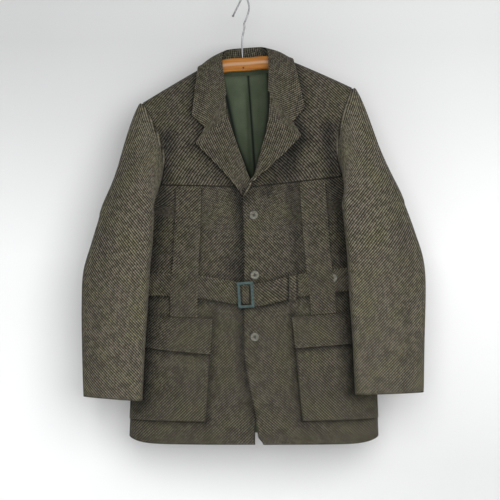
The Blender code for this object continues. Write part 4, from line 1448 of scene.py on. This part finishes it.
def wire_finish():
    """Dull steel with darker handled patches."""
    material, w, shader = new_material("steel wire", 0.4, 1.0)
    place = w.put("TexCoord").outputs["Object"]
    worn = w.noise(place, 120.0, 4.0)
    colour = w.ramp(worn, [(0.3, (0.16, 0.16, 0.17)), (0.7, (0.42, 0.42, 0.43))])
    w.feed(shader.inputs["Base Color"], colour)
    w.feed(shader.inputs["Roughness"], w.math("MULTIPLY_ADD", worn, 0.35, 0.25))
    return material


def horn_finish(name, light):
    """Grey-brown horn with cloudy streaks. light scales the colour: pale for the face, dark for painted
    shade.
    """
    material, w, shader = new_material(name, 0.5)
    place = w.put("TexCoord").outputs["Object"]
    streak = w.noise(w.put("Mapping", Vector=place, Scale=(1.0, 1.0, 3.0)).outputs[0], 160.0, 4.0)
    stops = [(0.30, (0.030, 0.028, 0.021)), (0.50, (0.075, 0.072, 0.056)), (0.72, (0.120, 0.116, 0.092))]
    colour = w.ramp(streak, [(at, tuple(light * c for c in shade)) for at, shade in stops])
    shader.inputs["Specular IOR Level"].default_value = 0.3
    w.feed(shader.inputs["Base Color"], colour)
    return material


def enamel_finish():
    """Teal buckle, rubbed paler in places."""
    material, w, shader = new_material("teal enamel", 0.5)
    place = w.put("TexCoord").outputs["Object"]
    rub = w.noise(place, 220.0, 4.0)
    stops = [(0.32, (0.020, 0.038, 0.035)), (0.55, (0.038, 0.070, 0.064)), (0.75, (0.080, 0.122, 0.115))]
    colour = w.ramp(rub, stops)
    w.feed(shader.inputs["Base Color"], colour)
    w.feed(shader.inputs["Roughness"], w.math("MULTIPLY_ADD", rub, 0.3, 0.36))
    shader.inputs["Specular IOR Level"].default_value = 0.25
    return material


green = lining_finish()
thread = thread_finish()
wood = wood_finish()
wire = wire_finish()
# The dark copy paints shade on the buttons' centres and outer edges; the pale copy is their face
horn = horn_finish("horn", 0.6)
horn_rim = horn_finish("polished horn", 1.8)
enamel = enamel_finish()
print("finishes:", [m.name for m in (green, thread, wood, wire, horn, horn_rim, enamel)])

# %% [markdown]
# ## Making the cloth
# With the surfaces and finishes ready, each panel is one call. Grids have a point about every 5 mm, which
# is enough for soft folds in heavy cloth.

# %% Body, yokes and sleeves
SIDES = ((-1, "right"), (1, "left"))
# Places round the sleeve where each piece starts and ends, and the gap at its seams
TOP_SLEEVE = (0.72, 1.36, 0.0015)
UNDER_SLEEVE = (0.36, 0.72, 0.0015)
made = {}
whole_back = closed_on_ridge(back_surface, RIDGE_Y + SEAM / 2)
made["back"] = cloth("back", 96, 150, whole_back, wool, inner=green)
for side, hand in SIDES:
    made[f"front_{hand}"] = cloth(
        f"front_{hand}", 54, 108, front_surface(side), wool, side, -1, straight=0.0, inner=green,
        facing_share=0.3, shade=FRONT_SHADE[side],
    )
    made[f"yoke_{hand}"] = cloth(
        f"yoke_{hand}", 48, 66, closed_on_ridge(yoke_surface(side), RIDGE_Y - SEAM / 2), wool,
        side, -1, straight=0.4, inner=green, facing_share=0.3, shade=FRONT_SHADE[side],
    )
    made[f"top_sleeve_{hand}"] = cloth(
        f"top_sleeve_{hand}", 64, 130, sleeve_surface(side, *TOP_SLEEVE), sleeve_wool_painted_lighter, side,
        inner=green, shade=SLEEVE_SHADE[side],
    )
    made[f"under_sleeve_{hand}"] = cloth(
        f"under_sleeve_{hand}", 36, 130, sleeve_surface(side, *UNDER_SLEEVE), sleeve_wool_painted_lighter, side,
        inner=green,
    )
print("body panels:", sorted(made))

# %% Collar, lapels, straps, belt and pockets
made["collar_fall"] = cloth("collar_fall", 110, 18, collar_surface, wool_collar)
made["collar_stand"] = cloth("collar_stand", 60, 8, stand_surface, wool_collar)
for side, hand in SIDES:
    made[f"lapel_{hand}"] = cloth(f"lapel_{hand}", 20, 48, lapel_surface(side), wool_lapel, side, -1)
    made[f"strap_{hand}"] = cloth(f"strap_{hand}", 10, 60, strap_surface(side), wool_strip, side, -1)
    made[f"pocket_{hand}"] = cloth(
        f"pocket_{hand}", POCKET_COLUMNS, POCKET_ROWS, pocket_surface(side), wool, side, -1,
        shade=POCKET_SHADE[side],
    )
    made[f"pocket_flap_{hand}"] = cloth(
        f"pocket_flap_{hand}", 34, 18, flap_surface(side), wool_strip, side, -1, shade=FLAP_SHADE[side]
    )
for side, hand, columns in ((1, "left", 120), (-1, "right", 168)):
    made[f"belt_{hand}"] = cloth(
        f"belt_{hand}", columns, 10, belt_surface(side), wool_across, side, -1, shade=BELT_SHADE[side]
    )
made["belt_keeper"] = cloth("belt_keeper", 5, 26, keeper_surface, wool_strip, 1, -1, thick=KEEPER_THICK)
print("pieces so far:", len(made))

# %% Lining
under_half = lining_surface(PLEAT_X - PLEAT_DEPTH, LINING_SIDES[1], CLOTH + UNDER_HALF_CLEAR, 0)
upper_half = lining_surface(LINING_SIDES[0], PLEAT_X, CLOTH + UPPER_HALF_CLEAR + LINING_THICK, 1)
for hand, half in (("left", under_half), ("right", upper_half)):
    made[f"lining_back_{hand}"] = cloth(
        f"lining_back_{hand}", 48, 60, half, green, thick=LINING_THICK, shade=LINING_SHADE
    )
print("all pieces of cloth:", len(made))

# %% [markdown]
# ## Flat sizes
# Every panel was cut from flat cloth. Its width, length and area come from the UV map, so they need no
# second measuring, and they are printed for each panel.

# %% Flat sizes of the cloth
for name, piece in made.items():
    hand = name.rsplit("_", 1)[-1]
    if name.startswith("lapel"):
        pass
    elif name.startswith(("strap", "pocket", "belt")):
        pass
    elif name.startswith("lining"):
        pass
    else:
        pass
    declare_sheet(name, piece)

# %% [markdown]
# ## Stitching
# Rows of small dark stitches follow the edges of flaps, pockets, straps, belt and the buttoned edge. One
# stitch is a tiny flattened ball, copied along a route given on the piece's own surface. A bump would be
# lighter, but small solids still read as thread from the side.

# %% Stitch rows
STITCH = 3.0
STITCH_STEP = 4.2
STITCH_WIDE = 0.75
STITCH_TALL = 0.45


def stitch_row(name, surface, route, side, facing):
    """Stitches along straight runs of (u, v) on a surface."""
    bm = bmesh.new()
    samples = 60
    count = 0
    for start, end in zip(route, route[1:]):
        points = []
        for k in range(samples + 1):
            u, v = lerp(start[0], end[0], k / samples), lerp(start[1], end[1], k / samples)
            points.append((u, v, surface(u, v)))
        travelled = 0.0
        due = STITCH_STEP / 2
        for (u, v, here), (_, _, there) in zip(points, points[1:]):
            gap = (there - here).length
            if gap > 0 and travelled + gap >= due:
                spot = here.lerp(there, (due - travelled) / gap)
                way = (there - here).normalized()
                away = normal_of(surface, u, v) * facing
                across = away.cross(way).normalized()
                turn = Matrix((way, across, away)).transposed().to_4x4()
                size = Matrix.Diagonal((STITCH / 2, STITCH_WIDE / 2, STITCH_TALL / 2, 1))
                place = Matrix.Translation(spot + away * 0.1) @ turn @ size
                bmesh.ops.create_uvsphere(bm, u_segments=6, v_segments=4, radius=1.0, matrix=place)
                count += 1
                due += STITCH_STEP
            travelled += gap
    for vert in bm.verts:
        vert.co = hang(mirrored(vert.co, side)) * MM
    if side < 0:
        bmesh.ops.reverse_faces(bm, faces=bm.faces)
    finish_piece(name, bm, thread)
    print(f"{name}: {count} stitches")


for side, hand in SIDES:
    stitch_row(f"stitch_flap_{hand}", flap_surface(side),
               [(0.045, 0.1), (0.955, 0.1)], side, -1)
    stitch_row(f"stitch_flap_edge_{hand}", flap_surface(side),
               [(0.045, 0.14), (0.045, 0.9), (0.955, 0.9), (0.955, 0.14)], side, -1)
    stitch_row(f"stitch_pocket_{hand}", pocket_surface(side),
               [(0.13, 0.3), (0.13, 0.88), (0.87, 0.88), (0.87, 0.3)], side, -1)
    stitch_row(f"stitch_strap_in_{hand}", strap_surface(side), [(0.1, 0.01), (0.1, 0.99)], side, -1)
    stitch_row(f"stitch_strap_out_{hand}", strap_surface(side), [(0.9, 0.01), (0.9, 0.99)], side, -1)
    stitch_row(f"stitch_belt_high_{hand}", belt_surface(side), [(0.01, 0.12), (0.99, 0.12)], side, -1)
    stitch_row(f"stitch_belt_low_{hand}", belt_surface(side), [(0.01, 0.88), (0.99, 0.88)], side, -1)
stitch_row("stitch_front_edge", front_surface(1), [(0.035, 0.05), (0.035, 0.98)], 1, -1)

# %% [markdown]
# ## Buttons
# A horn button is turned: a profile spun round its axis gives the raised rim and the dished middle, and
# four holes are drilled through by a boolean, as a spin can't leave them out. Two bars of thread hold it
# to the cloth.

# %% Buttons
BUTTON_DIAMETER = 21.0
BUTTON_THICK = 4.0
BUTTON_X = 1.5
FRONT_BUTTONS = [-462, -588, -718]
BELT_BUTTON = (165.0, -599)
HOLE_RADIUS = 1.1
HOLE_AWAY = 2.0
# Pale face between these shares of the radius; inside and outside, painted shade round the holes and the
# edge
DISH_SHARES = (0.34, 0.9)
SUNK = 2.2
BUTTON_PROFILE = [
    (0, 0), (0.80, 0), (0.93, 0.12), (1.0, 0.42), (0.99, 0.72), (0.92, 0.94), (0.83, 1.0), (0.73, 0.95),
    (0.62, 0.78), (0.48, 0.66), (0.25, 0.62), (0, 0.61),
]


def front_frame(side, x, z, out):
    """Matrix that stands a hard piece on a front: its local Z points out of the cloth."""
    spot = hang(mirrored(on_front(side, x, z, out), side))
    away = mirrored(front_normal(side, x, z), side)
    up = (Vector((0, 0, 1)) - away * away.z).normalized()
    turned = Matrix((up.cross(away), up, away)).transposed().to_4x4()
    return Matrix.Translation(spot * MM) @ turned


def turned_profile(profile, radius, height, steps):
    """Spins a profile of (share of radius, share of height) into a closed turned solid."""
    bm = bmesh.new()
    verts = [bm.verts.new((r * radius * MM, 0, h * height * MM)) for r, h in profile]
    edges = [bm.edges.new(pair) for pair in zip(verts, verts[1:])]
    bmesh.ops.spin(
        bm, geom=verts + edges, cent=(0, 0, 0), axis=(0, 0, 1), angle=2 * math.pi, steps=steps,
        use_merge=True,
    )
    bmesh.ops.remove_doubles(bm, verts=bm.verts, dist=1e-6)
    bmesh.ops.recalc_face_normals(bm, faces=bm.faces)
    return bm


def drilled(bm, spots, radius, depth):
    """Cuts round holes through a bmesh with a boolean and returns the result as a new bmesh."""
    body = bpy.data.objects.new("blank", bpy.data.meshes.new("blank"))
    bm.to_mesh(body.data)
    bm.free()
    cutter_bm = bmesh.new()
    for x, y in spots:
        bmesh.ops.create_cone(
            cutter_bm, cap_ends=True, segments=14, radius1=radius * MM, radius2=radius * MM,
            depth=depth * MM, matrix=Matrix.Translation((x * MM, y * MM, 0)),
        )
    cutter = bpy.data.objects.new("drill", bpy.data.meshes.new("drill"))
    cutter_bm.to_mesh(cutter.data)
    cutter_bm.free()
    for item in (body, cutter):
        bpy.context.scene.collection.objects.link(item)
    cut = body.modifiers.new("holes", "BOOLEAN")
    cut.object = cutter
    cut.operation = "DIFFERENCE"
    bpy.context.view_layer.update()
    result = bmesh.new()
    result.from_mesh(body.evaluated_get(bpy.context.evaluated_depsgraph_get()).to_mesh())
    for item in (body, cutter):
        bpy.data.objects.remove(item, do_unlink=True)
    return result


def button(name, side, x, z, out, turn):
    spots = [(sx * HOLE_AWAY, sy * HOLE_AWAY) for sx in (-1, 1) for sy in (-1, 1)]
    bm = turned_profile(BUTTON_PROFILE, BUTTON_DIAMETER / 2, BUTTON_THICK, 40)
    bm = drilled(bm, spots, HOLE_RADIUS, 3 * BUTTON_THICK)
    place = front_frame(side, x, z, out) @ Matrix.Rotation(turn, 4, "Z")
    bmesh.ops.transform(bm, matrix=place, verts=bm.verts)
    # Faces between the shares get the pale horn; the rest get the dark copy, painted shade
    for face in bm.faces:
        away = (face.calc_center_median() - place.translation).length / (BUTTON_DIAMETER / 2 * MM)
        face.material_index = int(DISH_SHARES[0] < away < DISH_SHARES[1])
    piece = finish_piece(f"turned_{name}", bm, horn, horn_rim)
    piece.data.set_sharp_from_angle(angle=math.radians(40))
    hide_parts(name)
    sewn = bmesh.new()
    for row in (-1, 1):
        for shift in (-0.35, 0.35):
            bar = Matrix.Translation(Vector((0, row * HOLE_AWAY + shift, 0.66 * BUTTON_THICK)) * MM)
            size = Matrix.Diagonal((HOLE_AWAY * 1.35 * MM, 0.4 * MM, 0.5 * MM, 1))
            stitch = place @ bar @ size
            bmesh.ops.create_uvsphere(sewn, u_segments=8, v_segments=6, radius=1.0, matrix=stitch)
    finish_piece(f"thread_{name}", sewn, thread)
    print(f"{name}: at {[round(c, 3) for c in place.translation]}")


for number, z in enumerate(FRONT_BUTTONS, 1):
    button(f"button_{number}", 1, BUTTON_X, z, ON_CLOTH, 0.5 * number)
button("belt_button", 1, *BELT_BUTTON, SEAM + ON_CLOTH + CLOTH - SUNK, 0.3)

# %% [markdown]
# ## Buckle
# A flat rectangular frame with rounded bars. It starts as a grid of nine cells with the middle one taken
# out, gets its thickness from an extrusion, and every long edge is bevelled round.

# %% Buckle
BUCKLE_SIZE = (34.0, 55.0)
BUCKLE_BAR = 6.0
BUCKLE_THICK = 2.8
BUCKLE_OUT = 6.8
BUCKLE_TURN = math.radians(4)


def buckle():
    bm = bmesh.new()
    bmesh.ops.create_grid(bm, x_segments=3, y_segments=3, size=0.5)
    for vert in bm.verts:
        for axis in (0, 1):
            inside = abs(vert.co[axis]) < 0.4
            vert.co[axis] = math.copysign(BUCKLE_SIZE[axis] / 2 - BUCKLE_BAR * inside, vert.co[axis])
    middle = min(bm.faces, key=lambda face: face.calc_center_median().length)
    bmesh.ops.delete(bm, geom=[middle], context="FACES_ONLY")
    grown = bmesh.ops.extrude_face_region(bm, geom=list(bm.faces), use_keep_orig=True)
    lifted = [item for item in grown["geom"] if isinstance(item, bmesh.types.BMVert)]
    bmesh.ops.translate(bm, verts=lifted, vec=(0, 0, BUCKLE_THICK))
    bmesh.ops.recalc_face_normals(bm, faces=bm.faces)
    corners = [edge for edge in bm.edges if edge.calc_face_angle(0) > 1]
    bmesh.ops.bevel(bm, geom=corners, offset=1.1, affect="EDGES", segments=4, profile=0.5, material=-1)
    bmesh.ops.scale(bm, verts=bm.verts, vec=(MM, MM, MM))
    place = front_frame(1, BUCKLE_X, belt_z(BUCKLE_X), BUCKLE_OUT) @ Matrix.Rotation(BUCKLE_TURN, 4, "Z")
    bmesh.ops.transform(bm, matrix=place, verts=bm.verts)
    piece = finish_piece("buckle_frame", bm, enamel)
    piece.data.set_sharp_from_angle(angle=math.radians(50))
    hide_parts("buckle")
    print("buckle faces:", len(piece.data.polygons))


buckle()

# %% [markdown]
# ## Hanger
# The bar is one bent board, level in the middle and sloping with the shoulders. The hook is a wire, and a
# curve with a round bevel is the simplest way to one. It is made a mesh, so that the small ball at its tip
# can be joined to it.

# %% Hanger bar and hook
HOOK_ROUTE = [
    (-23.9, -39), (-17, -25), (-9.9, -10.5), (-5.6, -2.2), (-0.8, 1.8), (4, 0), (7, -6), (9.3, -14),
    (10.1, -21), (8.4, -32), (2.7, -48), (-0.2, -55), (0.2, -64), (-3.2, -79.5), (-4.3, -87),
    (-4.8, -102), (-4, -131),
]
WIRE_DIAMETER = 3.6
HOOK_POINTS = 90
SCREW_X = -5.0
SCREW_RADIUS = 1.9
BAR_RAISE = 3.5


def bar_rise(x):
    """The bar's crown between the shoulders."""
    return BAR_RAISE * (1 - ease((abs(x) - 45) / 40))


def hanger_bar():
    bm = bmesh.new()
    columns, rows = 90, 6
    across = bm.verts.layers.float.new("across")
    bmesh.ops.create_grid(bm, x_segments=columns, y_segments=rows, size=0.5)
    grown = bmesh.ops.extrude_face_region(bm, geom=list(bm.faces), use_keep_orig=True)
    for item in grown["geom"]:
        if isinstance(item, bmesh.types.BMVert):
            item.co.z = 1.0
    for vert in bm.verts:
        u, v, depth = vert.co.x + 0.5, 0.5 - vert.co.y, vert.co.z
        vert[across] = v
        x = lerp(-BAR_HALF_SPAN, BAR_HALF_SPAN, u)
        taper = 1 - 0.35 * abs(2 * u - 1) ** 6
        belly = 1 - 0.25 * (2 * v - 1) ** 2
        y = RIDGE_Y + BAR_THICK * taper * belly * (depth - 0.5)
        vert.co = hang(Vector((x, y, bar_rise(x) + bar_top(x) - v * BAR_HEIGHT * taper))) * MM
    bmesh.ops.recalc_face_normals(bm, faces=bm.faces)
    piece = finish_piece("bent_bar", bm, wood)
    rounded = piece.modifiers.new("rounded edge", "BEVEL")
    rounded.width = 2.6 * MM
    rounded.segments = 4
    rounded.limit_method = "ANGLE"
    rounded.angle_limit = math.radians(50)
    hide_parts("hanger_bar")
    # A dark disc paints the shade inside the screw hole
    hole_shadow = bmesh.new()
    screw_z = bar_rise(SCREW_X) + bar_top(SCREW_X) - 0.76 * BAR_HEIGHT
    spot = hang(Vector((SCREW_X, RIDGE_Y - BAR_THICK / 2, screw_z)))
    place = Matrix.Translation(spot * MM) @ Matrix.Rotation(math.radians(90), 4, "X")
    bmesh.ops.create_cone(
        hole_shadow, cap_ends=True, segments=16, radius1=SCREW_RADIUS * MM, radius2=SCREW_RADIUS * MM,
        depth=1.0 * MM, matrix=place,
    )
    finish_piece("painted_screw_hole_shadow", hole_shadow, thread)


def hanger_hook():
    curve = bpy.data.curves.new("wire_hook", "CURVE")
    curve.dimensions = "3D"
    curve.bevel_depth = WIRE_DIAMETER / 2 * MM
    curve.bevel_resolution = 4
    curve.use_fill_caps = True
    run = curve.splines.new("POLY")
    run.points.add(HOOK_POINTS - 1)
    for i, point in enumerate(run.points):
        x, z = spline(HOOK_ROUTE, i / (HOOK_POINTS - 1))
        point.co = (x * MM, RIDGE_Y * ease(z / BAR_TOP_Z) * MM, z * MM, 1)
    bent = bpy.data.objects.new("bent wire", curve)
    bpy.context.scene.collection.objects.link(bent)
    bpy.context.view_layer.update()
    bm = bmesh.new()
    bm.from_mesh(bent.evaluated_get(bpy.context.evaluated_depsgraph_get()).to_mesh())
    bpy.data.objects.remove(bent, do_unlink=True)
    x, z = HOOK_ROUTE[0]
    tip = Matrix.Translation(Vector((x, RIDGE_Y * ease(z / BAR_TOP_Z), z)) * MM)
    ball = 0.72 * WIRE_DIAMETER * MM
    bmesh.ops.create_uvsphere(bm, u_segments=20, v_segments=12, radius=ball, matrix=tip)
    piece = finish_piece("wire_hook", bm, wire)
    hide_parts("hanger_hook")


hanger_bar()
hanger_hook()
print("hanger made")

# %% [markdown]
# ## Stage, light and camera
# A pale wall stands close behind and a pale floor lies below the view. Light and shade are painted on the
# wall, darker towards its top; it shows only from its front and casts no shadow, so the jacket's back can
# be looked at in the light behind.
# One broad key light in front keeps the shadows in the folds gentle.

# %% Wall, floor, lights and camera
WALL_Y = 0.11
WALL_TOP = 1.6
FLOOR_Z = -2.1
STAGE_REACH = 3.0
FLOOR_COLOUR = (0.835, 0.835, 0.83)
WALL_COLOUR = (0.97, 0.97, 0.965)
# Scale and shift that take a height and a place across the view to a share from 0 to 1
UP_THE_WALL = (0.95, 1.0)
ACROSS_THE_WALL = (1.09, 0.49)
# Painted light and shade at four heights, for the left and the right of the view
WALL_PAINTED_LIGHT = (
    [(0.05, 0.965), (0.48, 0.925), (0.76, 0.69), (0.92, 0.59)],
    [(0.05, 0.76), (0.48, 0.96), (0.76, 0.78), (0.92, 0.70)],
)
WORLD_COLOUR = (0.95, 0.97, 1.0, 1)
WORLD_STRENGTH = 0.42
PHOTO_WIDTH_MM = 1050.0
CAMERA_AWAY = 5.0
AIM = Vector((0.012, -0.05, -0.5355))


def finish_wall(material, w, shader):
    """Painted light and shade up and across the wall, and no colour at all on its back."""
    spot = w.put("SeparateXYZ", i0=w.put("TexCoord").outputs["Object"])
    height = w.math("MULTIPLY_ADD", spot.outputs[2], *UP_THE_WALL)
    left, right = (
        w.ramp(height, [(at, tuple(painted_light * c for c in WALL_COLOUR)) for at, painted_light in painted_tones])
        for painted_tones in WALL_PAINTED_LIGHT
    )
    scale, shift = ACROSS_THE_WALL
    clamped = {"operation": "MULTIPLY_ADD", "use_clamp": True}
    across = w.put("Math", clamped, i0=spot.outputs[0], i1=scale, i2=shift)
    w.feed(shader.inputs["Base Color"], w.mix(across.outputs[0], left, right))
    clear = w.put("BsdfTransparent")
    back = w.put("NewGeometry").outputs["Backfacing"]
    both = w.put("MixShader", i0=back, i1=shader.outputs[0], i2=clear.outputs[0])
    tree = material.node_tree
    tree.links.new(both.outputs[0], tree.nodes["Material Output"].inputs["Surface"])


def stage_plane(name, corners, is_wall):
    bm = bmesh.new()
    bm.faces.new([bm.verts.new(corner) for corner in corners])
    mesh = bpy.data.meshes.new(name)
    bm.to_mesh(mesh)
    bm.free()
    material, w, shader = new_material(name, 0.9)
    if is_wall:
        finish_wall(material, w, shader)
    else:
        shader.inputs["Base Color"].default_value = (*FLOOR_COLOUR, 1)
    mesh.materials.append(material)
    plane = bpy.data.objects.new(name, mesh)
    plane.visible_shadow = not is_wall
    bpy.context.scene.collection.objects.link(plane)


def soft_light(name, spot, aim, size, power):
    light = bpy.data.lights.new(name, "AREA")
    light.shape = "RECTANGLE"
    light.size, light.size_y = size
    light.energy = power
    lamp = bpy.data.objects.new(name, light)
    lamp.location = spot
    lamp.rotation_euler = (Vector(aim) - Vector(spot)).to_track_quat("-Z", "Y").to_euler()
    bpy.context.scene.collection.objects.link(lamp)


across_stage = ((-STAGE_REACH, STAGE_REACH), (STAGE_REACH, -STAGE_REACH))
wall_corners = [(x, WALL_Y, z) for xs, z in zip(across_stage, (FLOOR_Z, WALL_TOP)) for x in xs]
floor_corners = [(x, y, FLOOR_Z) for xs, y in zip(across_stage, across_stage[0]) for x in xs]
stage_plane("pale wall", wall_corners, True)
stage_plane("pale floor", floor_corners, False)
world = bpy.data.worlds.new("studio")
world.use_nodes = True
world.node_tree.nodes["Background"].inputs[0].default_value = WORLD_COLOUR
world.node_tree.nodes["Background"].inputs[1].default_value = WORLD_STRENGTH
bpy.context.scene.world = world
bpy.context.scene.view_settings.view_transform = "Standard"
soft_light("key", spot=(0.55, -3.2, 0.1), aim=(0, 0, -0.55), size=(3.0, 2.4), power=97)
soft_light("behind", spot=(0.6, 2.2, 0.6), aim=(0, 0, -0.5), size=(1.6, 1.6), power=34)

camera = bpy.data.objects.new("camera", bpy.data.cameras.new("camera"))
camera.location = AIM + Vector((0, -CAMERA_AWAY, 0))
camera.rotation_euler = (math.radians(90), 0, 0)
camera.data.sensor_fit = "HORIZONTAL"
camera.data.angle = 2 * math.atan(PHOTO_WIDTH_MM * MM / 2 / CAMERA_AWAY)
camera.data.clip_start = 0.05
bpy.context.scene.collection.objects.link(camera)
bpy.context.scene.camera = camera
print("camera at", list(camera.location))
